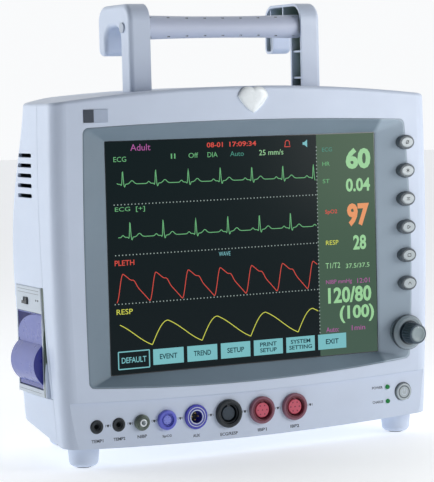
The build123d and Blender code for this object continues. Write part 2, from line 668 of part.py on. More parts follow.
# ---- inside ----
def main_board():
    board = block(-115, 120, 30.0, 31.6, -20, 105)
    for x, z, w in ((-70, 60, 30), (0, 30, 38), (60, 70, 26)):
        board += block(x - w / 2, x + w / 2, 31.6, 36.0, z - w / 2, z + w / 2)
    return board


def parameter_board():
    board = block(-150, 60, 14.0, 15.6, -136, -118)
    return board + block(-60, 40, 15.6, 27.0, -135, -121)


def power_supply():
    body = block(-60, 45, 50, 98, -124, -64)
    for x in range(-50, 41, 10):
        body -= block(x - 1, x + 1, 90, 99, -120, -68)
    return body


def nibp_pump():
    body = rod_y(13.0, -88, -112, 40, 78)
    return body + rod_y(4.0, -88, -112, 78, 88)


def speaker():
    cone = rod_x(18.0, 49, 66, 150, 158) + rod_x(20.0, 49, 66, 158, 160)
    return cone + rod_x(10.0, 49, 66, 140, 150)


# ---- back ----
def rear_panel():
    plate = block(-REAR_W - 4, REAR_W + 4, REAR_Y, REAR_Y + 2, REAR_Z0 - 3, REAR_Z1 + 5)
    y0, y1 = REAR_Y - 1, REAR_Y + 3
    for r_in, r_out in ((11, 15), (17, 21), (23, 27)):
        plate -= rod_y(r_out, FAN_X, FAN_Z, y0, y1) - rod_y(r_in, FAN_X, FAN_Z, y0, y1)
    for angle in (45, 135):
        spoke = Box(56, 2, 2.4)
        plate += Pos(FAN_X, REAR_Y + 1, FAN_Z) * Rot(0, angle, 0) * spoke
    plate -= block(-104, -76, y0, y1, -103.2, -82.8)
    plate -= block(-8.2, 8.2, y0, y1, -100, -86)
    plate -= rod_y(3.2, -45, FAN_Z, y0, y1)
    return plate


def ac_inlet():
    flange = block(-115, -65, REAR_Y + 2, REAR_Y + 5, -107, -79)
    body = block(-103.8, -76.2, REAR_Y - 20, REAR_Y + 3, -103, -83)
    cavity = block(-102.2, -77.8, REAR_Y - 12, REAR_Y + 6, -101.2, -84.8)
    return flange + body - cavity


def earth_stud():
    stud = rod_y(3.0, -45, FAN_Z, REAR_Y - 5, REAR_Y + 12)
    hexagon = Pos(-45, FAN_Z) * RegularPolygon(5.8, 6)
    nut = from_front(hexagon, REAR_Y + 2, REAR_Y + 5.5)
    return stud + nut


def network_port():
    body = block(-8, 8, REAR_Y - 15, REAR_Y + 3, -99.8, -86.2)
    return body - block(-5.9, 5.9, REAR_Y - 9, REAR_Y + 4, -97.0, -88.4)


def fan_frame():
    frame = block(FAN_X - FAN_HALF, FAN_X + FAN_HALF, REAR_Y - FAN_DEPTH, REAR_Y,
                  FAN_Z - FAN_HALF, FAN_Z + FAN_HALF)
    frame -= rod_y(27.5, FAN_X, FAN_Z, REAR_Y - FAN_DEPTH - 1, REAR_Y + 1)
    y0 = REAR_Y - FAN_DEPTH
    frame += block(FAN_X - 29, FAN_X + 29, y0, y0 + 2, FAN_Z - 1.5, FAN_Z + 1.5)
    frame += rod_y(10.0, FAN_X, FAN_Z, y0, y0 + 2)
    frame += rod_y(1.5, FAN_X, FAN_Z, y0, y0 + 10)
    return frame


def fan_rotor():
    y0 = REAR_Y - FAN_DEPTH + 2.6
    hub = rod_y(10.5, FAN_X, FAN_Z, y0, REAR_Y - 1.5)
    blade = Pos(17.5, 0, 0) * Rot(35, 0, 0) * Box(17.0, 1.4, 13.0)
    for i in range(7):
        hub += Pos(FAN_X, (y0 + REAR_Y - 1.5) / 2, FAN_Z) * Rot(0, i * 360 / 7, 0) * blade
    return hub - rod_y(1.54, FAN_X, FAN_Z, y0 - 1, y0 + 8.2)


def case_screws():
    screws = []
    for x, z in screw_places():
        y = back_y(z) - 3.0
        screws.append(rod_y(3.8, x, z, y, y + 2.2) + rod_y(2.0, x, z, y - 24, y))
    return Compound(children=screws)


# ---- feet ----
def foot_top_z(x, y):
    """Where a foot meets the underside, taken a little high."""
    return BASE_END_Z + 2.0 + BASE_RISE * min(max(y, 0.0), BASE_RISE_Y)


def feet():
    blocks = []
    for x, y in FOOT_PLACES:
        top = foot_top_z(x, y)
        sections = [Pos(0, 0, GROUND_Z + 0.8) * Circle(FOOT_LOW_R), Pos(0, 0, top) * Circle(FOOT_R)]
        body = Pos(x, y, 0) * loft(sections)
        body = fillet(body.faces().sort_by(Axis.Z)[0].edges(), 4.5)
        body -= OUTER
        body -= rod_z(6.1, x, y, GROUND_Z - 1, GROUND_Z + 2.3)
        blocks.append(body)
    return Compound(children=blocks)


def foot_pads():
    pads = []
    for x, y in FOOT_PLACES:
        pads.append(rod_z(6.0, x, y, GROUND_Z, GROUND_Z + 2.3))
    return Compound(children=pads)


LOWER_PANEL = (SHELL & block(-165, 165, FRONT_Y - 1, 0, -150, -105)) - panel_recess()
for places, _, _, _, _, barrel_r in SOCKETS.values():
    for x in places:
        LOWER_PANEL -= rod_y(barrel_r, x, SOCKET_Z, FRONT_Y - 5, FRONT_Y + 12)

NODES = {
    "front_bezel": front_bezel(), "rear_case": rear_case(), "side_strip": side_strip(),
    "screen_frame": screen_frame(), "screen_glass": screen_glass(), "lcd_panel": lcd_panel(),
    "lcd_bracket": lcd_bracket(), "key_surrounds": key_surrounds(), "keypad_board": keypad_board(),
    "knob_ring": knob_ring(), "knob": knob(), "encoder_shaft": encoder_shaft(),
    "encoder_plunger": encoder_plunger(), "encoder_body": encoder_body(), "power_button": power_button(),
    "status_leds": status_leds(), "lamp_lens": lamp_lens(), "badge_plate": badge_plate(),
    "contact_blocks": contact_blocks(), "handle_arm_left": handle_arm(-1), "handle_arm_right": handle_arm(1),
    "grip_front_shell": grip_shell(-1), "grip_rear_shell": grip_shell(1), "grip_tube": grip_tube(),
    "arm_screws": arm_screws(), "recorder_frame": recorder_frame(), "recorder_door": recorder_door(),
    "recorder_tray": recorder_tray(), "platen_roller": platen_roller(), "paper_roll": paper_roll(),
    "print_head": print_head(), "recorder_latch": recorder_latch(), "battery_door": battery_door(),
    "battery_pack": battery_pack(), "main_board": main_board(), "parameter_board": parameter_board(),
    "power_supply": power_supply(), "nibp_pump": nibp_pump(), "speaker": speaker(),
    "rear_panel": rear_panel(), "ac_inlet": ac_inlet(), "earth_stud": earth_stud(),
    "network_port": network_port(), "fan_frame": fan_frame(), "fan_rotor": fan_rotor(),
    "case_screws": case_screws(), "feet": feet(), "foot_pads": foot_pads(),
}
for socket_name in SOCKETS:
    NODES[socket_name] = socket_group(socket_name)
for number, key_z in enumerate(key_heights(), start=1):
    NODES[f"soft_key_{number}"] = soft_key(key_z)

# ---- origin: bottom centre of the whole object ----
whole = Compound(children=[Compound(children=n.solids()) for n in NODES.values()]).bounding_box()
SHIFT = Pos(-(whole.min.X + whole.max.X) / 2, -(whole.min.Y + whole.max.Y) / 2, -whole.min.Z)

os.makedirs("parts", exist_ok=True)
for node_name, shape in NODES.items():
    solids = [SHIFT * s for s in shape.solids()]
    export_step(solids[0] if len(solids) == 1 else Compound(children=solids), f"parts/{node_name}.step")
print("shift", SHIFT.position, "nodes", len(NODES))
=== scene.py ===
"""The looks of a bedside patient monitor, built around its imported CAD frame.

Places are given in the display's own millimetres: the origin is the middle of the display's face,
+X to its right, +Y into the case and +Z up. at() turns them into the frame's metres.
"""
import math

import bmesh
import bpy
from mathutils import Matrix, Vector


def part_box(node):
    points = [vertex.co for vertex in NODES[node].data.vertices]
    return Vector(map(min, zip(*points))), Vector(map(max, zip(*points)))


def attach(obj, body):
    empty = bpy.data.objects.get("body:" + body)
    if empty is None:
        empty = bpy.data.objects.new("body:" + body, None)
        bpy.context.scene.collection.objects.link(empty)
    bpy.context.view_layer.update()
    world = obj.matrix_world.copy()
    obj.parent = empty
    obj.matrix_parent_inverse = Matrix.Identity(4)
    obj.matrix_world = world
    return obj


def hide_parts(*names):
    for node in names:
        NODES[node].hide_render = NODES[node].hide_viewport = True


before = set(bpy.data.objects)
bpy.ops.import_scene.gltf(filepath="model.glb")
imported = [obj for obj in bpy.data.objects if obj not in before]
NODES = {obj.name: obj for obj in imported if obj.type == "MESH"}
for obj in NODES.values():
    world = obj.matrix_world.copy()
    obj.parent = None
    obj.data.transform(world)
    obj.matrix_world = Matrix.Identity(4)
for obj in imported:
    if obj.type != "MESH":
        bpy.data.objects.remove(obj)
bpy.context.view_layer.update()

MM = 0.001
TURN = 2 * math.pi
glass_low, glass_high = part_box("screen_glass")
HOME = Vector(((glass_low.x + glass_high.x) / 2, glass_low.y, (glass_low.z + glass_high.z) / 2))


# ---------------------------------------------------------------- places
def at(x, y, z):
    """A place in the display's millimetres, in the frame's metres."""
    return HOME + Vector((x, y, z)) * MM


def span(node):
    """Lowest and highest corner of a CAD node, in the display's millimetres."""
    low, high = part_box(node)
    return (low - HOME) / MM, (high - HOME) / MM


def middle(node):
    low, high = span(node)
    return (low + high) / 2


# ---------------------------------------------------------------- mesh work
def new_mesh():
    return bmesh.new()


def skin(bm, rings, closed_ends=True, wrap=False):
    """Joins rings of points, each the same length, with faces, and closes the two ends."""
    made = [[bm.verts.new(p) for p in ring] for ring in rings]
    count = len(made[0])
    pairs = list(zip(made, made[1:]))
    if wrap:
        pairs.append((made[-1], made[0]))
    for a, b in pairs:
        for i in range(count):
            j = (i + 1) % count
            bm.faces.new((a[i], a[j], b[j], b[i]))
    if closed_ends and not wrap:
        bm.faces.new(list(reversed(made[0])))
        bm.faces.new(made[-1])


def circle(x, z, r, y, steps=48, ripple=0.0, waves=1):
    """A ring of points facing the front, with waves pressed into it."""
    points = []
    for i in range(steps):
        a = TURN * i / steps
        here = r - ripple * (0.5 - 0.5 * math.cos(waves * a))
        points.append((x + here * math.cos(a), y, z + here * math.sin(a)))
    return points


def turned(bm, x, z, profile, steps=48, wrap=False):
    """A turned shape about an axis along Y; the profile is radius against depth."""
    skin(bm, [circle(x, z, r, y, steps) for r, y in profile], wrap=wrap)


def ring(bm, x, z, r_in, r_out, y_front, y_back, soften=0.2, steps=48):
    """A flat ring whose front corners are softened."""
    s = soften
    profile = [(r_in, y_back), (r_in, y_front + s), (r_in + s, y_front), (r_out - s, y_front),
               (r_out, y_front + s), (r_out, y_back)]
    turned(bm, x, z, profile, steps, wrap=True)


def disc(bm, x, z, r, y_front, y_back, soften=0.2, steps=32):
    """A short peg with a softened front corner."""
    turned(bm, x, z, [(r, y_back), (r, y_front + soften), (r - soften, y_front)], steps)


def plate(bm, outline, y_front, y_back):
    """An outline in X and Z made into a plate."""
    skin(bm, [[(x, y, z) for x, z in outline] for y in (y_back, y_front)])


def side_plate(bm, outline, x_out, x_in):
    """An outline in Y and Z made into a plate on a side wall."""
    skin(bm, [[(x, y, z) for y, z in outline] for x in (x_in, x_out)])


def bar(bm, x0, x1, z0, z1, y_front, y_back):
    plate(bm, [(x0, z0), (x1, z0), (x1, z1), (x0, z1)], y_front, y_back)


def stroke(bm, points, width, y_front, y_back):
    """A line of one width through points in X and Z."""
    left, right = [], []
    last = len(points) - 1
    for i, (x, z) in enumerate(points):
        ax, az = points[max(i - 1, 0)]
        bx, bz = points[min(i + 1, last)]
        dx, dz = bx - ax, bz - az
        size = math.hypot(dx, dz) or 1.0
        nx, nz = -dz / size * width / 2, dx / size * width / 2
        left.append((x + nx, z + nz))
        right.append((x - nx, z - nz))
    for i in range(last):
        plate(bm, [left[i], right[i], right[i + 1], left[i + 1]], y_front, y_back)


def arc(x, z, r, start, sweep, steps=20):
    """Points along an arc, with angles in degrees."""
    angles = [math.radians(start + sweep * i / steps) for i in range(steps + 1)]
    return [(x + r * math.cos(a), z + r * math.sin(a)) for a in angles]


def through(a, b, c, steps=14):
    """Points along the circular arc from a through b to c."""
    ax, az, bx, bz, cx, cz = *a, *b, *c
    d = 2 * (ax * (bz - cz) + bx * (cz - az) + cx * (az - bz))
    aa, bb, cc = ax * ax + az * az, bx * bx + bz * bz, cx * cx + cz * cz
    ox = (aa * (bz - cz) + bb * (cz - az) + cc * (az - bz)) / d
    oz = (aa * (cx - bx) + bb * (ax - cx) + cc * (bx - ax)) / d
    r = math.hypot(ax - ox, az - oz)
    start, via, stop = (math.atan2(q[1] - oz, q[0] - ox) for q in (a, b, c))
    sweep = (stop - start) % TURN
    if (via - start) % TURN > sweep:
        sweep -= TURN
    return [(ox + r * math.cos(start + sweep * i / steps), oz + r * math.sin(start + sweep * i / steps))
            for i in range(steps + 1)]


def words(bm, text, x, z, width, height, y_front, bold=0.0, slope=None, thick=0.05):
    """Letters stretched to a width and height about a middle, standing on the depth y_front."""
    curve = bpy.data.curves.new("letters", "FONT")
    curve.body = text
    curve.offset = bold
    curve.extrude = 0.5
    curve.resolution_u = 3
    holder = bpy.data.objects.new("letters", curve)
    mesh = bpy.data.meshes.new_from_object(holder)
    xs = [v.co.x for v in mesh.vertices]
    ys = [v.co.y for v in mesh.vertices]
    x0, y0 = min(xs), min(ys)
    across, up = width / (max(xs) - x0), height / (max(ys) - y0)
    verts = []
    for v in mesh.vertices:
        px = x - width / 2 + (v.co.x - x0) * across
        pz = z - height / 2 + (v.co.y - y0) * up
        front = y_front if slope is None else slope(pz) - y_front
        verts.append(bm.verts.new((px, front + (0.5 - v.co.z) * thick, pz)))
    for face in mesh.polygons:
        bm.faces.new([verts[i] for i in face.vertices])
    bpy.data.objects.remove(holder)
    bpy.data.meshes.remove(mesh)
    bpy.data.curves.remove(curve)


def piece(bm, name, material, body, smooth=True):
    """Turns a mesh in display millimetres into an object that rides on a body."""
    bmesh.ops.recalc_face_normals(bm, faces=bm.faces)
    mesh = bpy.data.meshes.new(name)
    bm.to_mesh(mesh)
    bm.free()
    for v in mesh.vertices:
        v.co = at(*v.co)
    if smooth:
        mesh.shade_smooth()
        mesh.set_sharp_from_angle(angle=math.radians(35))
    mesh.materials.append(material)
    obj = bpy.data.objects.new(name, mesh)
    bpy.context.scene.collection.objects.link(obj)
    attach(obj, body)
    return obj


# ---------------------------------------------------------------- materials
def linear(r, g, b):
    """An 8-bit screen colour as a linear one."""
    channel = [c / 255 for c in (r, g, b)]
    return tuple(c / 12.92 if c <= 0.04045 else ((c + 0.055) / 1.055) ** 2.4 for c in channel) + (1.0,)


def scaled(colour, factor):
    return tuple(min(1.0, c * factor) for c in colour[:3]) + (1.0,)


class Finish:
    """A material and the few node patterns that every finish here is made from."""

    def __init__(self, name):
        self.material = bpy.data.materials.new(name)
        self.material.use_nodes = True
        self.tree = self.material.node_tree
        self.shader = self.tree.nodes["Principled BSDF"]
        self.place = self.node("ShaderNodeTexCoord").outputs["Object"]

    def node(self, kind, **settings):
        made = self.tree.nodes.new(kind)
        for key, value in settings.items():
            setattr(made, key, value)
        return made

    def link(self, source, target):
        self.tree.links.new(source, target)

    def noise(self, scale, detail=2.0, stretch=(1, 1, 1)):
        mapping = self.node("ShaderNodeMapping")
        mapping.inputs["Scale"].default_value = stretch
        self.link(self.place, mapping.inputs["Vector"])
        texture = self.node("ShaderNodeTexNoise")
        texture.inputs["Scale"].default_value = scale
        texture.inputs["Detail"].default_value = detail
        self.link(mapping.outputs[0], texture.inputs["Vector"])
        return texture.outputs[0]

    def spread(self, value, from_low, from_high, low, high):
        node = self.node("ShaderNodeMapRange")
        ends = {"From Min": from_low, "From Max": from_high, "To Min": low, "To Max": high}
        for key, number in ends.items():
            node.inputs[key].default_value = number
        self.link(value, node.inputs["Value"])
        return node.outputs[0]

    def times(self, a, b):
        node = self.node("ShaderNodeMath", operation="MULTIPLY")
        self.link(a, node.inputs[0])
        self.link(b, node.inputs[1])
        return node.outputs[0]

    def blend(self, share, a, b):
        """A mix of two colours, each a socket or a constant."""
        node = self.node("ShaderNodeMix", data_type="RGBA")
        self.link(share, node.inputs[0])
        for value, target in ((a, node.inputs[6]), (b, node.inputs[7])):
            if isinstance(value, tuple):
                target.default_value = value
            else:
                self.link(value, target)
        return node.outputs[2]

    def height(self, axis):
        """One coordinate of the surface, in the frame's metres."""
        split = self.node("ShaderNodeSeparateXYZ")
        self.link(self.place, split.inputs[0])
        return split.outputs[axis]

    def soft_edges(self, radius_mm):
        """Rounded edges in the shading, and how much each place is an edge."""
        bevel = self.node("ShaderNodeBevel", samples=4)
        bevel.inputs["Radius"].default_value = radius_mm * MM
        flat = self.node("ShaderNodeNewGeometry").outputs["Normal"]
        dot = self.node("ShaderNodeVectorMath", operation="DOT_PRODUCT")
        self.link(bevel.outputs[0], dot.inputs[0])
        self.link(flat, dot.inputs[1])
        return bevel.outputs[0], self.spread(dot.outputs["Value"], 0.995, 0.8, 0.0, 1.0)

    def bump(self, pattern, depth_mm, strength, base=None):
        node = self.node("ShaderNodeBump")
        node.inputs["Strength"].default_value = strength
        node.inputs["Distance"].default_value = depth_mm * MM
        self.link(pattern, node.inputs["Height"])
        if base is not None:
            self.link(base, node.inputs["Normal"])
        return node.outputs[0]


def moulded(name, colour, rough=0.45, grain=1500.0, depth=0.05, mottle=0.05, edge_lightening=0.3, edge_mm=0.3,
            coat=0.0, stretch=(1, 1, 1), metallic=0.0, tint=None):
    """A moulded, painted or machined surface: grain, cloudy colour, and edges coloured lighter, partly for
    wear and partly as a painted highlight.
    """
    f = Finish(name)
    cloudy = f.blend(f.spread(f.noise(22.0, 4.0), 0.3, 0.7, 0.0, 1.0),
                     scaled(colour, 1 - mottle), scaled(colour, 1 + mottle))
    if tint is not None:
        cloudy = tint(f, cloudy)
    normal, edge = f.soft_edges(edge_mm)
    # Edges are coloured lighter: partly wear, partly a painted highlight.
    wear_and_highlight = f.times(edge, f.spread(f.noise(260.0, 3.0), 0.35, 0.65, 0.2 * edge_lightening, edge_lightening))
    f.link(f.blend(wear_and_highlight, cloudy, scaled(colour, 1.35)), f.shader.inputs["Base Color"])
    fine = f.noise(grain, 3.0, stretch)
    f.link(f.bump(fine, depth, 0.5, normal), f.shader.inputs["Normal"])
    f.link(f.spread(f.noise(90.0, 3.0, stretch), 0.3, 0.7, rough - 0.06, rough + 0.06),
           f.shader.inputs["Roughness"])
    f.shader.inputs["Metallic"].default_value = metallic
    f.shader.inputs["Coat Weight"].default_value = coat
    f.shader.inputs["Coat Roughness"].default_value = 0.12
    return f.material


def lit(name, colour, strength=1.0, rough=0.25, flicker=0.06, gradient=None, specular=0.1):
    """Something that shines: a lamp or the picture on the display."""
    f = Finish(name)
    glow = f.blend(f.noise(900.0, 1.0), scaled(colour, 1 - flicker), scaled(colour, 1 + flicker))
    if gradient is not None:
        (z_low, z_high), low_colour = gradient
        place = f.spread(f.height("Z"), at(0, 0, z_low).z, at(0, 0, z_high).z, 0.0, 1.0)
        glow = f.blend(place, low_colour, glow)
    f.link(glow, f.shader.inputs["Emission Color"])
    f.shader.inputs["Emission Strength"].default_value = strength
    f.shader.inputs["Base Color"].default_value = scaled(colour, 0.05)
    f.shader.inputs["Roughness"].default_value = rough
    f.shader.inputs["Specular IOR Level"].default_value = specular
    return f.material


def hollow_shade(f, colour):
    """Painted shade: deep pockets of a moulding are coloured dark and greenish where ambient occlusion is
    high.
    """
    node = f.node("ShaderNodeAmbientOcclusion", samples=8)
    node.inputs["Distance"].default_value = 22 * MM
    deep = f.spread(node.outputs["AO"], 0.12, 0.5, 0.92, 0.0)
    return f.blend(deep, colour, linear(104, 128, 104))


def door_shades(f, colour):
    """Painted shade: the recorder door's faces that look to the front are coloured dark blue. Below its
    bulge the door is coloured darker.
    """
    colour = f.blend(f.spread(f.height("Z"), at(0, 0, -97).z, at(0, 0, -100).z, 0.0, 1.0),
                     colour, linear(70, 78, 150))
    axes = f.node("ShaderNodeSeparateXYZ")
    f.link(f.node("ShaderNodeNewGeometry").outputs["Normal"], axes.inputs[0])
    front = f.spread(axes.outputs["Y"], -0.75, -0.9, 0.0, 1.0)
    return f.blend(front, colour, linear(46, 50, 150))


def frame_painted_light(f, colour):
    """Painted light: the display's surround is coloured a paler grey beside the keys, where more light
    falls on it.
    """
    keys = f.spread(f.height("X"), at(122, 0, 0).x, at(126, 0, 0).x, 0.0, 1.0)
    return f.blend(keys, colour, linear(166, 182, 196))


def two_tone(f, colour):
    """A badge whose left end is black."""
    low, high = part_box("badge_plate")
    third = low.x + 0.42 * (high.x - low.x)
    left = f.spread(f.height("X"), third, third - 0.2 * MM, 0.0, 1.0)
    return f.blend(left, colour, linear(66, 74, 86))


def block_colours(f, colour):
    """Contact blocks: violet in the left connector, dark in the next two, pink in the last two."""
    across = f.height("X")
    pink = f.spread(across, at(-11, 0, 0).x, at(-9, 0, 0).x, 0.0, 1.0)
    violet = f.spread(across, at(-66, 0, 0).x, at(-68, 0, 0).x, 0.0, 1.0)
    return f.blend(violet, f.blend(pink, colour, linear(206, 88, 104)), linear(112, 116, 220))


def ring_highlight_and_shade(f, colour):
    """Painted highlight and shade: the knob's ring is coloured light on its bevel and dark at its rim and
    beside the knob.
    """
    low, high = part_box("knob_ring")
    axis = (low + high) / 2
    flat = f.node("ShaderNodeVectorMath", operation="MULTIPLY")
    f.link(f.place, flat.inputs[0])
    flat.inputs[1].default_value = (1, 0, 1)
    away = f.node("ShaderNodeVectorMath", operation="DISTANCE")
    f.link(flat.outputs[0], away.inputs[0])
    away.inputs[1].default_value = (axis.x, 0, axis.z)
    rim = f.spread(away.outputs["Value"], 14.3 * MM, 14.6 * MM, 0.0, 1.0)
    root = f.spread(away.outputs["Value"], 10.6 * MM, 10.0 * MM, 0.0, 1.0)
    return f.blend(root, f.blend(rim, colour, linear(46, 58, 68)), linear(40, 54, 64))


def strip_shades(f, colour):
    """The dark trim strip stands upright; what leans ahead of it is case-coloured."""
    return f.blend(f.spread(f.height("Y"), at(0, 18.1, 0).y, at(0, 17.9, 0).y, 0.0, 1.0), colour, CASE)


def surround_shades(f, colour):
    """The recorder's surround carries the foot of the dark strip along its front edge."""
    strip = f.spread(f.height("Y"), at(0, 20.3, 0).y, at(0, 20.1, 0).y, 0.0, 1.0)
    return strip_shades(f, f.blend(strip, colour, STRIP))


def notch_painted_shade(f, colour):
    """Painted shade: the grip's finger notches are coloured dark where ambient occlusion is high."""
    node = f.node("ShaderNodeAmbientOcclusion", samples=8)
    node.inputs["Distance"].default_value = 4 * MM
    return f.blend(f.spread(node.outputs["AO"], 0.45, 0.85, 0.9, 0.0), colour, linear(92, 100, 98))


CASE = linear(208, 219, 237)
SURROUND = linear(190, 200, 210)
STRIP = linear(72, 88, 80)
MATERIALS = {}


def finish(name, *values, **extras):
    MATERIALS[name] = moulded(name, *values, **extras)


# name, colour, roughness, grain to the metre, grain depth in mm, mottle, edge wear and painted highlight,
# shaded edge in mm
finish("case_plastic", CASE, 0.42, 1700, 0.05, 0.025, 0.25, 0.5)
# frame_plastic carries painted light beside the keys.
finish("frame_plastic", linear(118, 136, 150), 0.5, 1700, 0.06, 0.04, 0.2, 0.4, tint=frame_painted_light)
# grip_plastic carries painted shade in the finger notches.
finish("grip_plastic", linear(202, 210, 230), 0.4, 1500, 0.04, 0.03, 0.25, 0.3, tint=notch_painted_shade)
finish("dark_ring", linear(82, 92, 100), 0.35, 2000, 0.03, 0.06, 0.4, 0.25, coat=0.2)
finish("key_cap", linear(176, 186, 190), 0.3, 2200, 0.02, 0.04, 0.35, 0.3, coat=0.3)
finish("knob_plastic", linear(62, 78, 90), 0.38, 1800, 0.05, 0.06, 0.5, 0.3)
# recorder_violet carries painted shade on the door's faces that look to the front.
finish("recorder_violet", linear(84, 96, 172), 0.3, 900, 0.02, 0.05, 0.2, 0.4, coat=0.15, tint=door_shades)
finish("recorder_white", SURROUND, 0.4, 1700, 0.04, 0.03, 0.2, 0.4)
finish("strip_dark", STRIP, 0.5, 1500, 0.05, 0.06, 0.2, tint=strip_shades)
finish("black_plastic", linear(30, 38, 44), 0.42, 1800, 0.05, 0.1, 0.5, 0.25)
finish("socket_blue", linear(62, 62, 176), 0.28, 1500, 0.02, 0.06, 0.4, 0.25, coat=0.3)
finish("socket_violet", linear(92, 98, 204), 0.28, 1500, 0.02, 0.06, 0.4, 0.25, coat=0.3)
finish("socket_red", linear(128, 76, 94), 0.32, 1500, 0.02, 0.06, 0.4, 0.25, coat=0.2)
finish("insulator", linear(58, 66, 74), 0.45, 1500, 0.03, 0.06, 0.2, 0.2, tint=block_colours)
finish("lamp_plastic", linear(244, 250, 252), 0.3, 1200, 0.02, 0.015, 0.1, 0.5, coat=0.4)
finish("badge_grey", linear(176, 188, 208), 0.35, 1500, 0.02, 0.05, 0.3, 0.2, tint=two_tone)
finish("foot_rubber", linear(62, 65, 70), 0.8, 900, 0.12, 0.1, 0.3, 0.4)
finish("platen_rubber", linear(34, 34, 36), 0.75, 900, 0.1, 0.1, 0.2)
finish("chart_paper", linear(240, 236, 226), 0.85, 700, 0.03, 0.02, 0.0, 0.1, stretch=(1, 0.1, 1))
finish("battery_case", linear(48, 52, 58), 0.55, 1500, 0.05, 0.06, 0.3)
finish("circuit_board", linear(26, 92, 58), 0.35, 260, 0.03, 0.18, 0.1, 0.1, coat=0.4)
finish("display_module", linear(40, 42, 46), 0.3, 900, 0.02, 0.06, 0.2)
finish("sheet_steel", linear(188, 190, 194), 0.4, 700, 0.03, 0.05, 0.3, 0.2, stretch=(0.06, 1, 1),
       metallic=0.85)
finish("shaft_steel", linear(205, 206, 210), 0.2, 900, 0.01, 0.04, 0.2, 0.2, stretch=(1, 1, 0.1),
       metallic=1.0)
finish("screw_steel", linear(180, 182, 186), 0.3, 1400, 0.03, 0.06, 0.4, 0.2, metallic=1.0)
finish("fitting_metal", linear(112, 122, 114), 0.3, 1400, 0.04, 0.12, 0.6, 0.25, metallic=0.8)
finish("earth_brass", linear(206, 172, 104), 0.28, 1400, 0.03, 0.06, 0.4, 0.2, metallic=1.0)
finish("display_glass", linear(14, 18, 22), 0.16, 600, 0.004, 0.05, 0.0, 0.1, coat=0.3)
MATERIALS["led_green"] = lit("led_green", linear(52, 150, 84), 0.55, 0.2, 0.2)

# nodes that look unlike the rest of their slot
# knob_ring carries a painted highlight on its bevel and painted shade at its rim and beside the knob.
finish("knob_ring", linear(134, 148, 156), 0.3, 1800, 0.03, 0.05, 0.4, 0.3, coat=0.2, tint=ring_highlight_and_shade)
# arm_plastic: the case colour with painted shade in the arms' hollows.
finish("arm_plastic", CASE, 0.42, 1700, 0.05, 0.025, 0.25, 0.6, tint=hollow_shade)
finish("surround", SURROUND, 0.4, 1700, 0.04, 0.03, 0.2, 0.4, tint=surround_shades)
finish("screw_cap", linear(184, 194, 208), 0.42, 1700, 0.05, 0.03, 0.3, 0.5)
OWN_MATERIAL = {
    "knob_ring": "knob_ring", "handle_arm_left": "arm_plastic", "handle_arm_right": "arm_plastic",
    "recorder_frame": "surround", "arm_screws": "screw_cap",
}
for obj in NODES.values():
    slot_name = obj.data.materials[0].name.split(".")[0]
    obj.data.materials[0] = MATERIALS[OWN_MATERIAL.get(obj.name, slot_name)]


# ---------------------------------------------------------------- the picture on the display
PICTURE_Y, PICTURE_BACK = -0.16, -0.06
TRACE_W = 0.62
COLOURS = {
    "green": linear(104, 172, 118), "pale": linear(150, 202, 150), "teal": linear(70, 138, 122),
    "red": linear(206, 76, 66), "orange": linear(226, 148, 100), "yellow": linear(204, 208, 84),
    "magenta": linear(166, 88, 152), "cyan": linear(118, 182, 188), "white": linear(150, 164, 160),
    "ink": linear(26, 62, 70),
}
picture = {colour: new_mesh() for colour in COLOURS}


def write(colour, text, x, z, width, height, bold=0.0):
    words(picture[colour], text, x, z, width, height, PICTURE_Y, bold, thick=0.06)


def trace(colour, function, x0, x1, step=0.35):
    count = int((x1 - x0) / step)
    places = [x0 + (x1 - x0) * i / count for i in range(count + 1)]
    stroke(picture[colour], [(x, function(x)) for x in places], TRACE_W, PICTURE_Y, PICTURE_BACK)


def dots(colour, x0, z0, x1, z1, pitch=3.0, size=0.85):
    count = int(math.hypot(x1 - x0, z1 - z0) / pitch)
    for i in range(count + 1):
        x, z = x0 + (x1 - x0) * i / count, z0 + (z1 - z0) * i / count
        h = size / 2
        bar(picture[colour], x - h, x + h, z - h, z + h, PICTURE_Y, PICTURE_BACK)


def hump(t, middle_t, width, size):
    return size * math.exp(-((t - middle_t) / width) ** 2)


def heartbeat(first, pitch, base, tilt, size):
    """An electrocardiogram: small rise, sharp spike, dip and a slow wave."""
    def line(x):
        t = (x - first + pitch / 2) % pitch - pitch / 2
        level = base + tilt * (x - first)
        return (level + hump(t, -6.2, 1.3, 1.6) - hump(t, -1.3, 0.5, 1.0) + hump(t, 0.0, 0.55, size)
                - hump(t, 1.5, 0.6, 2.4) + hump(t, 8.0, 2.2, 2.6))
    return line


def pulse(first, pitch, top, low):
    """A pulse wave: quick rise, rounded top, a shoulder, then a straight fall."""
    def line(x):
        t = ((x - first) % pitch) / pitch
        depth = top - low
        if t < 0.79:
            fall = t / 0.79
            shoulder = hump(fall, 0.42, 0.1, 0.11)
            return top - depth * (fall ** 1.15 - shoulder)
        rise = (t - 0.79) / 0.21
        return low + depth * (0.5 - 0.5 * math.cos(math.pi * rise))
    return line


def breath(first, pitch, top, low):
    """A breathing wave: rounded rise, longer and straighter fall."""
    def line(x):
        t = ((x - first) % pitch) / pitch
        rise_share = 0.32
        if t < rise_share:
            return low + (top - low) * math.sin(0.5 * math.pi * t / rise_share)
        fall = (t - rise_share) / (1 - rise_share)
        return top - (top - low) * (0.35 * (0.5 - 0.5 * math.cos(math.pi * fall)) + 0.65 * fall)
    return line


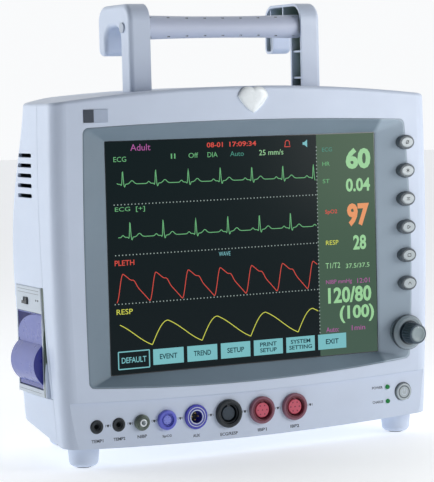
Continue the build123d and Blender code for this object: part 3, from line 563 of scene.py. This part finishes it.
def draw_picture():
    trace("green", heartbeat(-108.6, 28.8, 58.6, -0.009, 10.8), -113.7, 66.0)
    trace("green", heartbeat(-103.4, 29.0, 16.5, 0.0, 12.5), -113.7, 66.0)
    trace("red", pulse(-110.6, 28.8, -12.5, -35.0), -116.5, 66.0)
    trace("yellow", breath(-86.6, 44.4, -51.7, -70.4), -114.5, 66.0)
    for z, x0, x1 in ((42.5, -116.5, 66.0), (2.5, -116.5, 66.0), (-36.2, -118.0, 66.0)):
        dots("white", x0, z, x1, z)
    dots("white", 67.4, 82.0, 67.4, -72.5)
    write("magenta", "Adult", -92.5, 87.2, 17.5, 5.2)
    write("red", "08-01", -26.5, 87.0, 14.5, 4.0, 0.015)
    write("red", "17:09:34", -1.0, 87.0, 24.5, 4.0, 0.015)
    write("green", "ECG", -110.6, 78.3, 11.0, 4.0)
    write("green", "II", -64.0, 79.2, 4.0, 4.0)
    write("green", "Off", -46.0, 79.2, 8.6, 4.0)
    write("green", "DIA", -28.8, 79.2, 9.0, 4.0)
    write("teal", "Auto", -6.6, 79.2, 12.5, 4.0)
    write("pale", "25 mm/s", 25.0, 79.2, 22.5, 4.4)
    write("green", "ECG  [+]", -103.0, 38.4, 26.0, 4.4)
    write("red", "PLETH", -109.0, -3.6, 17.0, 4.2, 0.01)
    write("cyan", "WAVE", -20.0, -1.4, 10.5, 3.4)
    write("yellow", "RESP", -110.0, -42.4, 14.0, 4.2)
    write("teal", "ECG", 77.6, 79.6, 9.5, 3.4)
    write("green", "HR", 76.4, 67.8, 7.0, 3.4)
    write("green", "ST", 76.2, 53.4, 6.6, 3.4)
    write("red", "SpO2", 80.4, 27.4, 11.5, 4.2, 0.01)
    write("yellow", "RESP", 80.8, 2.0, 12.0, 3.8)
    write("pale", "60", 107.4, 71.3, 24.0, 17.6, 0.045)
    write("pale", "0.04", 106.8, 49.2, 23.5, 11.2, 0.03)
    write("orange", "97", 106.4, 24.2, 21.4, 19.2, 0.045)
    write("pale", "28", 107.4, 0.9, 12.6, 12.4, 0.03)
    write("pale", "T1/T2", 81.0, -17.2, 14.0, 4.6)
    write("pale", "37.5/37.5", 105.0, -18.4, 23.0, 3.8)
    write("magenta", "NIBP mmHg", 86.6, -31.4, 25.0, 4.4)
    write("magenta", "12:01", 110.4, -31.4, 12.0, 4.0)
    write("pale", "120/80", 96.8, -42.4, 42.0, 13.4, 0.03)
    write("pale", "(100)", 103.4, -58.9, 33.5, 14.6, 0.03)
    write("magenta", "Auto:", 79.4, -70.8, 12.0, 4.2)
    write("magenta", "1min", 104.6, -70.8, 13.0, 4.2)


def draw_icons():
    """A bell and a loudspeaker in the status line."""
    bell = [(37.6, 83.2)] + arc(40.2, 86.4, 2.0, 200, -220, 12) + [(42.8, 83.2), (37.6, 83.2)]
    stroke(picture["red"], bell, 0.6, PICTURE_Y, PICTURE_BACK)
    horn = [(54.6, 84.2), (56.2, 84.2), (58.8, 82.2), (58.8, 88.4), (56.2, 86.4), (54.6, 86.4)]
    plate(picture["cyan"], horn, PICTURE_Y, PICTURE_BACK)


MENU = ["DEFAULT", "EVENT", "TREND", "SETUP", ("PRINT", "SETUP"), ("SYSTEM", "SETTING"), "EXIT"]
MENU_X0, MENU_PITCH, MENU_W, MENU_H, MENU_Z = -116.5, 30.32, 27.0, 12.6, -80.6


def draw_menu():
    """The row of menu boxes; the first one is an empty frame."""
    for i, label in enumerate(MENU):
        x0, x1 = MENU_X0 + i * MENU_PITCH, MENU_X0 + i * MENU_PITCH + MENU_W
        z0, z1 = MENU_Z - MENU_H / 2, MENU_Z + MENU_H / 2
        middle_x = (x0 + x1) / 2
        if i == 0:
            z0 -= 1.2
            edge = [(x0, z0), (x1, z0), (x1, z1), (x0, z1), (x0, z0)]
            for a, b in zip(edge, edge[1:]):
                stroke(picture["cyan"], [a, b], 0.9, PICTURE_Y, PICTURE_BACK)
            write("cyan", label, middle_x, MENU_Z - 0.6, 21.5, 4.6, 0.01)
            continue
        bar(picture["cyan"], x0, x1, z0, z1, PICTURE_Y, PICTURE_BACK)
        lines = (label,) if isinstance(label, str) else label
        for row, text in enumerate(lines):
            z = MENU_Z + (len(lines) - 1 - 2 * row) * 2.4
            height = 4.2 if len(lines) == 1 else 3.4
            words(picture["ink"], text, middle_x, z, 3.1 * len(text), height, PICTURE_Y - 0.08, 0.02,
                  thick=0.06)


def show_picture():
    draw_picture()
    draw_icons()
    draw_menu()
    for colour, bm in picture.items():
        piece(bm, "picture_" + colour, lit("picture_" + colour, COLOURS[colour]), "monitor",
              smooth=False)
    half_w, half_h, line_x = 123.0, 92.25, 67.4
    areas = {
        "picture_waves": (-half_w, line_x, linear(14, 27, 29), linear(10, 21, 25)),
        "picture_values": (line_x, half_w, linear(66, 90, 70), linear(66, 88, 76)),
    }
    for name, (x0, x1, high_colour, low_colour) in areas.items():
        bm = new_mesh()
        bar(bm, x0, x1, -half_h, half_h, -0.05, -0.01)
        glow = lit(name, high_colour, 1.0, 0.22, 0.05, ((-half_h, half_h), low_colour))
        piece(bm, name, glow, "monitor", smooth=False)


show_picture()


# ---------------------------------------------------------------- front: lamp, keys, knob, power button
def alarm_lamp():
    """A domed heart of frosted plastic over the display."""
    low, high = span("lamp_lens")
    cx, w = (low.x + high.x) / 2, (high.x - low.x) / 2
    lobe = w / 2
    top, tip = high.z, low.z
    shoulder = top - lobe
    notch = (cx, shoulder + 0.84 * lobe)
    side = (cx + w, shoulder - 0.1 * lobe)
    right = through(notch, (cx + 0.9 * lobe, top), side, 18)[:-1]
    right += through(side, (cx + 0.72 * w, shoulder - 0.95 * lobe), (cx, tip), 16)
    outline = right + [(2 * cx - x, z) for x, z in reversed(right[1:-1])]
    mid_z = shoulder - 0.25 * lobe
    dome, rise = low.y + 0.02, 2.3
    rings = [[(x, high.y - 0.2, z) for x, z in outline]]
    for step in range(10):
        s = math.cos(0.5 * math.pi * step / 10)
        y = dome + rise * (1 - math.sqrt(max(0.0, 1 - s ** 4)))
        rings.append([(cx + (x - cx) * (0.1 + 0.9 * s), y, mid_z + (z - mid_z) * (0.1 + 0.9 * s))
                      for x, z in outline])
    bm = new_mesh()
    skin(bm, rings)
    lamp = piece(bm, "alarm_lamp_dome", MATERIALS["lamp_plastic"], "monitor")
    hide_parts("lamp_lens")


def fluted_knob():
    """The rotary knob: ribbed skirt, rolled edge, a pale disc for a face and a pointer."""
    low, high = span("knob")
    cx, cz, r = (low.x + high.x) / 2, (low.z + high.z) / 2, (high.x - low.x) / 2
    front, steps, ribs = low.y, 192, 24
    back = span("knob_ring")[0].y - 0.8
    neck = 5.4
    profile = [
        (neck, high.y - 0.2, 0), (neck, back, 0),
        (r - 0.5, back, 0), (r, back - 0.5, 0), (r, back - 1.4, 0),
        (r - 0.1, back - 1.8, 0.75), (r - 0.4, front + 2.4, 0.75), (r - 0.55, front + 1.6, 0.4),
        (r - 0.9, front + 0.8, 0), (r - 1.4, front + 0.35, 0), (r - 2.0, front + 0.25, 0),
        (r - 2.4, front + 0.3, 0), (2.0, front + 0.8, 0), (0.4, front + 0.8, 0),
    ]
    bm = new_mesh()
    skin(bm, [circle(cx, cz, ring_r, y, steps, ripple, ribs) for ring_r, y, ripple in profile])
    cap = piece(bm, "knob_cap", MATERIALS["knob_plastic"], "knob")
    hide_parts("knob")
    face = moulded("knob_face", linear(142, 156, 160), 0.35, 1800, 0.03, 0.05, 0.3)
    bm = new_mesh()
    turned(bm, cx, cz, [(6.5, front + 0.9), (6.5, front + 0.3), (6.1, front + 0.05), (5.4, front + 0.02),
                        (4.9, front + 0.35), (2.5, front + 0.6), (0.4, front + 0.65)])
    piece(bm, "knob_disc", face, "knob")
    bm = new_mesh()
    bar(bm, cx - 0.35, cx + 0.35, cz + r - 3.9, cz + r - 2.6, front + 0.0, front + 0.6)
    piece(bm, "knob_pointer", MATERIALS["recorder_white"], "knob")


def power_symbol():
    low, high = span("power_button")
    cx, cz, y = (low.x + high.x) / 2, (low.z + high.z) / 2, low.y
    bm = new_mesh()
    stroke(bm, arc(cx, cz, 2.5, 125, 290), 0.7, y - 0.12, y + 0.1)
    stroke(bm, [(cx, cz + 0.6), (cx, cz + 3.6)], 0.7, y - 0.12, y + 0.1)
    piece(bm, "power_symbol", MATERIALS["recorder_white"], "power_button")
    # The groove on the button is drawn as a dark ring of painted shade.
    bm = new_mesh()
    ring(bm, cx, cz, 4.6, 5.5, y - 0.16, y + 0.1, 0.08)
    piece(bm, "power_groove_shade", MATERIALS["dark_ring"], "power_button")
    bm = new_mesh()
    ring(bm, cx, cz, (high.x - low.x) / 2 + 0.28, (high.x - low.x) / 2 + 1.0, panel_y(cz) - 0.3,
         panel_y(cz) + 0.3, 0.12)
    piece(bm, "power_rim", MATERIALS["dark_ring"], "monitor")


def key_signs():
    """One small sign on each soft key: silence, freeze, print, start, menu and alarm limits."""
    signs = [
        lambda x, z: [arc(x, z, 1.3, 0, 360), [(x - 1.6, z - 1.6), (x + 1.6, z + 1.6)]],
        lambda x, z: [[(x + 1.7 * math.cos(a), z + 1.7 * math.sin(a)),
                       (x - 1.7 * math.cos(a), z - 1.7 * math.sin(a))]
                      for a in (math.pi / 2, math.pi / 6, -math.pi / 6)],
        lambda x, z: [[(x - 1.6, z - 1), (x + 1.6, z - 1)], [(x - 1, z), (x + 1, z)],
                      [(x - 1.6, z + 1), (x + 1.6, z + 1)]],
        lambda x, z: [[(x - 1.2, z - 1.4), (x + 1.6, z), (x - 1.2, z + 1.4), (x - 1.2, z - 1.4)]],
        lambda x, z: [[(x - 1.5, z - 1.2), (x + 1.5, z - 1.2), (x + 1.5, z + 1.2), (x - 1.5, z + 1.2),
                       (x - 1.5, z - 1.2)]],
        lambda x, z: [[(x - 1.5, z - 1), (x, z + 1.2), (x + 1.5, z - 1)]],
    ]
    for number, sign in enumerate(signs, 1):
        key = f"soft_key_{number}"
        low, high = span(key)
        bm = new_mesh()
        for line in sign((low.x + high.x) / 2, (low.z + high.z) / 2):
            for a, b in zip(line, line[1:]):
                stroke(bm, [a, b], 0.5, low.y - 0.08, low.y + 0.1)
        piece(bm, f"key_sign_{number}", MATERIALS["black_plastic"], key, smooth=False)


# ---------------------------------------------------------------- connector panel
PANEL_TILT = (span("front_bezel")[0].y, -149.0, 2.2 / 49.0)


def panel_y(z):
    """Depth of the sloping connector panel's face at a height."""
    face, foot_z, slope = PANEL_TILT
    return face + slope * (z - foot_z)


SOCKET_ROW = middle("hose_fitting").z
TEMP_X, HOSE_X, SPO2_X, AUX_X, ECG_X, IBP_X = (-140.8, -121.9), -102.1, -80.3, -54.3, -24.9, (5.6, 36.0)
MARK_X = (-131.2, -112.0, -91.0, -68.0, -40.6, -9.6, 20.9, 51.4)
PRINT_MATERIAL = moulded("panel_print", linear(58, 66, 78), 0.6, 1500, 0.02, 0.08, 0.0, 0.1)


def panel_print():
    """Small function names and marks printed on the connector panel."""
    bm = new_mesh()
    labels = [
        (TEMP_X[0], 11.2, "TEMP1"), (TEMP_X[1], 11.2, "TEMP2"), (HOSE_X, 11.2, "NIBP"),
        (SPO2_X, 13.2, "SpO2"), (AUX_X, 15.2, "AUX"), (ECG_X, 16.6, "ECG/RESP"),
        (IBP_X[0], 16.2, "IBP1"), (IBP_X[1], 16.2, "IBP2"),
    ]
    for x, drop, text in labels:
        width = 1.9 * len(text) + 0.6
        words(bm, text, x, SOCKET_ROW - drop, width, 2.5, 0.05, 0.02, slope=panel_y, thick=0.04)
    for x in MARK_X:
        z = SOCKET_ROW
        y = panel_y(z)
        heart = arc(x - 0.55, z + 0.3, 0.62, 220, -200, 8) + arc(x + 0.55, z + 0.3, 0.62, 160, -200, 8)
        plate(bm, heart + [(x, z - 1.5)], y - 0.05, y + 0.02)
        for side in (-1, 1):
            stroke(bm, arc(x, z, 2.1, 90 + side * 60, side * 60, 6), 0.3, y - 0.05, y + 0.02)
    for z, text in ((-122.2, "POWER"), (-134.3, "CHARGE")):
        words(bm, text, 116.8, z, 10.5, 2.2, 0.05, 0.02, slope=panel_y, thick=0.04)
    piece(bm, "panel_print", PRINT_MATERIAL, "monitor", smooth=False)


def contact_pins(bm, x, count, circle_r, pin_r, front, back):
    for i in range(count):
        a = TURN * i / count
        px, pz = x + circle_r * math.cos(a), SOCKET_ROW + circle_r * math.sin(a)
        disc(bm, px, pz, pin_r, front, back, 0.25, 12)


def socket_details():
    """Collars, keyways and contacts inside the connectors."""
    z = SOCKET_ROW
    dark, pins, steel = new_mesh(), new_mesh(), new_mesh()
    face = span("temp_sockets")[0].y
    for x in TEMP_X:
        ring(dark, x, z, 2.0, 3.1, face + 1.0, face + 8.0, 0.2, 32)
        contact_pins(dark, x, 3, 1.0, 0.4, face + 1.6, face + 6.0)
    face = span("hose_fitting")[0].y
    for r, y in ((5.7, -0.7), (4.7, -1.3)):
        ring(steel, HOSE_X, z, r - 0.8, r, face + y, face + 0.4, 0.2, 40)
    white = new_mesh()
    ring(white, HOSE_X, z, 1.9, 3.0, face - 1.9, face + 9.0, 0.3, 40)
    piece(white, "hose_nipple", MATERIALS["lamp_plastic"], "monitor")
    piece(steel, "hose_collars", MATERIALS["fitting_metal"], "monitor")

    face = span("spo2_socket")[0].y
    violet, violet_core, blue_pins = new_mesh(), new_mesh(), new_mesh()
    ring(violet, SPO2_X, z, 4.3, 5.35, face + 1.2, face + 8.9, 0.25)
    bar(violet, SPO2_X - 0.8, SPO2_X + 0.8, z + 3.2, z + 4.6, face + 1.4, face + 8.9)
    piece(violet, "spo2_shroud", MATERIALS["socket_violet"], "monitor")
    disc(violet_core, SPO2_X, z, 3.9, face + 1.0, face + 8.9, 0.5, 32)
    lilac = moulded("spo2_core", linear(134, 142, 226), 0.35, 1500, 0.02, 0.06, 0.2, 0.2)
    piece(violet_core, "spo2_core", lilac, "monitor")
    contact_pins(blue_pins, SPO2_X, 6, 2.4, 0.5, face + 0.9, face + 3.0)
    piece(blue_pins, "spo2_contacts", MATERIALS["socket_blue"], "monitor")

    face = span("aux_socket")[0].y
    grey = new_mesh()
    ring(grey, AUX_X, z, 7.3, 8.0, face - 0.25, face + 0.4, 0.12)
    ring(grey, AUX_X, z, 5.05, 6.0, face - 0.35, face + 0.4, 0.15)
    piece(grey, "aux_rings", MATERIALS["grip_plastic"], "monitor")
    contact_pins(pins, AUX_X, 4, 2.8, 0.6, face + 3.0, face + 10.5)

    face = span("ecg_socket")[0].y
    ring(dark, ECG_X, z, 9.2, 10.4, face - 0.3, face + 0.4, 0.2)
    ring(dark, ECG_X, z, 7.1, 8.3, face + 1.6, face + 8.9, 0.3)
    bar(dark, ECG_X - 1.4, ECG_X + 1.4, z + 5.4, z + 7.4, face + 2.2, face + 8.9)
    contact_pins(dark, ECG_X, 8, 4.2, 0.7, face + 2.5, face + 5.0)

    shell = new_mesh()
    disc(shell, ECG_X, z, 5.9, face + 2.6, face + 8.9, 0.5, 40)
    slate = moulded("ecg_core", linear(48, 62, 74), 0.4, 1500, 0.02, 0.08, 0.2, 0.2)
    piece(shell, "ecg_core", slate, "monitor")
    red, core, holes = new_mesh(), new_mesh(), new_mesh()
    wine = moulded("socket_wine", linear(104, 26, 46), 0.35, 1500, 0.02, 0.08, 0.3, 0.25, coat=0.2)
    face = span("ibp_sockets")[0].y
    for x in IBP_X:
        ring(red, x, z, 7.9, 9.2, face - 0.2, face + 0.4, 0.15)
        ring(red, x, z, 7.2, 7.9, face + 0.8, face + 8.9, 0.25)
        bar(red, x - 1.1, x + 1.1, z + 5.8, z + 7.4, face + 1.2, face + 8.9)
        disc(core, x, z, 6.3, face + 1.2, face + 8.9, 0.6, 40)
        contact_pins(holes, x, 6, 4.0, 0.8, face + 1.1, face + 3.0)
        contact_pins(holes, x, 1, 0.0, 0.8, face + 1.1, face + 3.0)
    piece(red, "ibp_shrouds", wine, "monitor")
    pink = moulded("ibp_core", linear(206, 88, 108), 0.4, 1500, 0.02, 0.06, 0.2, 0.2)
    piece(core, "ibp_cores", pink, "monitor")
    deep_red = moulded("ibp_contact", linear(126, 34, 56), 0.4, 1500, 0.02, 0.06, 0.2, 0.2)
    piece(holes, "ibp_contacts", deep_red, "monitor")
    piece(dark, "socket_shrouds", MATERIALS["black_plastic"], "monitor")
    piece(pins, "contact_pins", MATERIALS["earth_brass"], "monitor")


# ---------------------------------------------------------------- left side: recorder
def door_panels():
    """The recorder door's raised arched panel, and a navy sheet of painted shadow in the recess behind it.
    """
    low, high = span("recorder_door")
    y0, y1, top = low.y + 0.8, high.y - 0.8, high.z - 0.8
    face = span("recorder_frame")[0].x + 0.5
    foot, drop = -64.5, 19.0
    arch_start = y0 + 10.0
    quarter = [0.5 * math.pi * i / 16 for i in range(17)]
    reach = y1 - arch_start
    arch = [(arch_start + reach * math.sin(a), top - drop + drop * math.cos(a)) for a in quarter]
    bm = new_mesh()
    side_plate(bm, [(y0, foot), (y0, top)] + arch + [(y1, foot)], face - 0.4, face + 0.1)
    piece(bm, "door_arch", MATERIALS["recorder_violet"], "recorder_door")
    # A navy sheet of painted shadow fills the corner above the arch.
    navy = moulded("recorder_navy", linear(20, 24, 92), 0.75, 1200, 0.03, 0.06, 0.1)
    bm = new_mesh()
    side_plate(bm, arch + [(y1, top)], face - 0.12, face + 0.1)
    piece(bm, "door_gap_shadow", navy, "recorder_door")


def latch():
    """The recorder's latch: a slide under a flat foot with an upright thumb rib."""
    low, high = span("recorder_latch")
    face = span("recorder_frame")[0].x
    bm = new_mesh()
    y0, y1, z0, z1 = low.y, high.y, low.z, high.z
    side_plate(bm, [(y0, z0), (y1, z0), (y1, z1), (y0, z1)], face - 0.2, high.x)
    side_plate(bm, [(y0, z0), (y1 + 4.0, z0), (y1 + 4.0, z0 + 2.4), (y0, z0 + 2.4)], low.x, face - 0.15)
    side_plate(bm, [(y0, z0 + 2.4), (y0 + 4.2, z0 + 2.4), (y0 + 3.6, z1), (y0, z1)], low.x, face - 0.15)
    lever = piece(bm, "latch_lever", MATERIALS["black_plastic"], "recorder_latch",
                  smooth=False)
    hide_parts("recorder_latch")


def recorder_marks():
    """Two lamps and three pressed lines on the recorder's surround; the lines are dark strips of painted
    shade.
    """
    face = span("recorder_frame")[0].x
    bm = new_mesh()
    lamp_z, lamp_r = -32.0, 0.8
    for y in (29.0, 33.0):
        angles = [TURN * i / 16 for i in range(16)]
        outline = [(y + lamp_r * math.cos(a), lamp_z + lamp_r * math.sin(a)) for a in angles]
        side_plate(bm, outline, face - 0.25, face + 0.2)
    # The pressed lines are drawn as dark strips of painted shade.
    y0, y1, half = 27.0, 72.0, 0.15
    for z in (-24.4, -27.0, -105.6):
        line = [(y0, z - half), (y1, z - half), (y1, z + half), (y0, z + half)]
        side_plate(bm, line, face - 0.05, face + 0.2)
    piece(bm, "recorder_marks", MATERIALS["dark_ring"], "monitor", smooth=False)


# ---------------------------------------------------------------- back
def rating_plate():
    """A blank silver plate with four rivets on the rear panel."""
    y = span("rear_panel")[1].y
    bm = new_mesh()
    x0, x1, z0, z1 = 15.0, 55.0, -112.0, -88.0
    r, inset = 2.0, 2.6
    outline = []
    corners = [(x1 - r, z1 - r), (x0 + r, z1 - r), (x0 + r, z0 + r), (x1 - r, z0 + r)]
    for quarter, (cx, cz) in enumerate(corners):
        outline += arc(cx, cz, r, 90 * quarter, 90, 6)
    plate(bm, outline, y + 0.4, y - 0.1)
    rivet = [(1.0, y + 0.3), (1.0, y + 0.6), (0.6, y + 0.85), (0.15, y + 0.9)]
    for x in (x0 + inset, x1 - inset):
        for z in (z0 + inset, z1 - inset):
            turned(bm, x, z, rivet, 16)
    piece(bm, "rating_plate", MATERIALS["sheet_steel"], "monitor")


def screw_cross_shadows():
    """Cross recesses, drawn as dark inlays of painted shadow in the screw heads."""
    bm = new_mesh()
    low, high = span("case_screws")
    head_r, arm, half = 3.8, 2.2, 0.4
    places = [(v.co - HOME) / MM for v in NODES["case_screws"].data.vertices]
    for x in (low.x + head_r, high.x - head_r):
        for z in (low.z + head_r, high.z - head_r):
            y = max(p.y for p in places if abs(p.x - x) < 4 and abs(p.z - z) < 4)
            front, back = y + 0.06, y - 0.4
            bar(bm, x - arm, x + arm, z - half, z + half, front, back)
            bar(bm, x - half, x + half, z - arm, z - half, front, back)
            bar(bm, x - half, x + half, z + half, z + arm, front, back)
    piece(bm, "screw_cross_shadows", MATERIALS["black_plastic"], "monitor", smooth=False)


def inlet_blades():
    """The three pins inside the mains inlet."""
    low, high = span("ac_inlet")
    cx, cz = -90.0, -93.0
    bm = new_mesh()
    for dx, dz in ((-7.0, -1.8), (7.0, -1.8), (0.0, 3.2)):
        bar(bm, cx + dx - 1.0, cx + dx + 1.0, cz + dz - 2.0, cz + dz + 2.0, high.y - 4.0, low.y + 6.0)
    piece(bm, "inlet_blades", MATERIALS["screw_steel"], "monitor")


alarm_lamp()
fluted_knob()
power_symbol()
key_signs()
panel_print()
socket_details()
door_panels()
latch()
recorder_marks()
rating_plate()
screw_cross_shadows()
inlet_blades()


# ---------------------------------------------------------------- floor, light and camera
def pale_floor():
    """A large round sheet of pale studio floor that glows a little."""
    bm = new_mesh()
    angles = [TURN * i / 96 for i in range(96)]
    inner = 0.3
    skin(bm, [[(r * math.cos(a), r * math.sin(a), 0.0) for a in angles] for r in (8.0, 3.0, 1.0, inner)],
         closed_ends=False)
    bm.faces.new([v for v in bm.verts if abs(v.co.length - inner) < 1e-6])
    mesh = bpy.data.meshes.new("floor")
    bm.to_mesh(mesh)
    bm.free()
    paint = moulded("floor_paint", linear(240, 241, 242), 0.7, 400, 0.05, 0.012, 0.0, 0.1)
    shader = paint.node_tree.nodes["Principled BSDF"]
    shader.inputs["Emission Color"].default_value = (0.98, 0.99, 1.0, 1.0)
    shader.inputs["Emission Strength"].default_value = 0.4
    mesh.materials.append(paint)
    floor = bpy.data.objects.new("floor", mesh)
    bpy.context.scene.collection.objects.link(floor)


def area_light(name, place, target, size, watts, colour=(1, 1, 1)):
    lamp = bpy.data.lights.new(name, "AREA")
    lamp.shape = "SQUARE"
    lamp.size = size
    lamp.energy = watts
    lamp.color = colour
    holder = bpy.data.objects.new(name, lamp)
    holder.location = at(*place)
    holder.rotation_euler = (at(*place) - at(*target)).to_track_quat("Z", "Y").to_euler()
    holder.visible_camera = False
    bpy.context.scene.collection.objects.link(holder)


def studio_world():
    """White surroundings with one dimmer side, towards the front left."""
    world = bpy.data.worlds.new("studio")
    bpy.context.scene.world = world
    world.use_nodes = True
    nodes, links = world.node_tree.nodes, world.node_tree.links
    place = nodes.new("ShaderNodeTexCoord")
    dot = nodes.new("ShaderNodeVectorMath")
    dot.operation = "DOT_PRODUCT"
    dot.inputs[1].default_value = Vector((-0.5, -0.85, 0.0)).normalized()
    share = nodes.new("ShaderNodeMapRange")
    share.interpolation_type = "SMOOTHSTEP"
    share.inputs["From Min"].default_value = -0.6
    share.inputs["From Max"].default_value = 0.25
    mix = nodes.new("ShaderNodeMix")
    mix.data_type = "RGBA"
    mix.inputs[6].default_value = (0.95, 0.96, 0.97, 1)
    mix.inputs[7].default_value = (0.1, 0.11, 0.13, 1)
    links.new(place.outputs["Generated"], dot.inputs[0])
    links.new(dot.outputs["Value"], share.inputs["Value"])
    links.new(share.outputs[0], mix.inputs[0])
    links.new(mix.outputs[2], nodes["Background"].inputs["Color"])


CAMERA_PLACE = (-747.46, -1428.92, 127.31)
CAMERA_TURN, CAMERA_LIFT, CAMERA_ROLL = 26.77, 4.22, -1.41
CAMERA_LENS = 148.2


def camera():
    az, el, roll = (math.radians(a) for a in (CAMERA_TURN, CAMERA_LIFT, CAMERA_ROLL))
    back = Vector((-math.sin(az) * math.cos(el), -math.cos(az) * math.cos(el), math.sin(el)))
    right = (-back).cross(Vector((0, 0, 1))).normalized()
    up = right.cross(-back)
    across = math.cos(roll) * right + math.sin(roll) * up
    upward = -math.sin(roll) * right + math.cos(roll) * up
    data = bpy.data.cameras.new("camera")
    data.lens = CAMERA_LENS
    holder = bpy.data.objects.new("camera", data)
    turn = Matrix((across, upward, back)).transposed()
    holder.matrix_world = Matrix.LocRotScale(at(*CAMERA_PLACE), turn, None)
    bpy.context.scene.collection.objects.link(holder)
    bpy.context.scene.camera = holder


pale_floor()
studio_world()
area_light("key", (560, -520, 180), (100, 0, -30), 0.4, 2.7, (1.0, 0.99, 0.98))
area_light("left", (-1150, 850, 300), (-100, 40, 0), 0.9, 8.5, (0.97, 0.99, 1.0))
camera()
bpy.context.scene.view_settings.view_transform = "Standard"
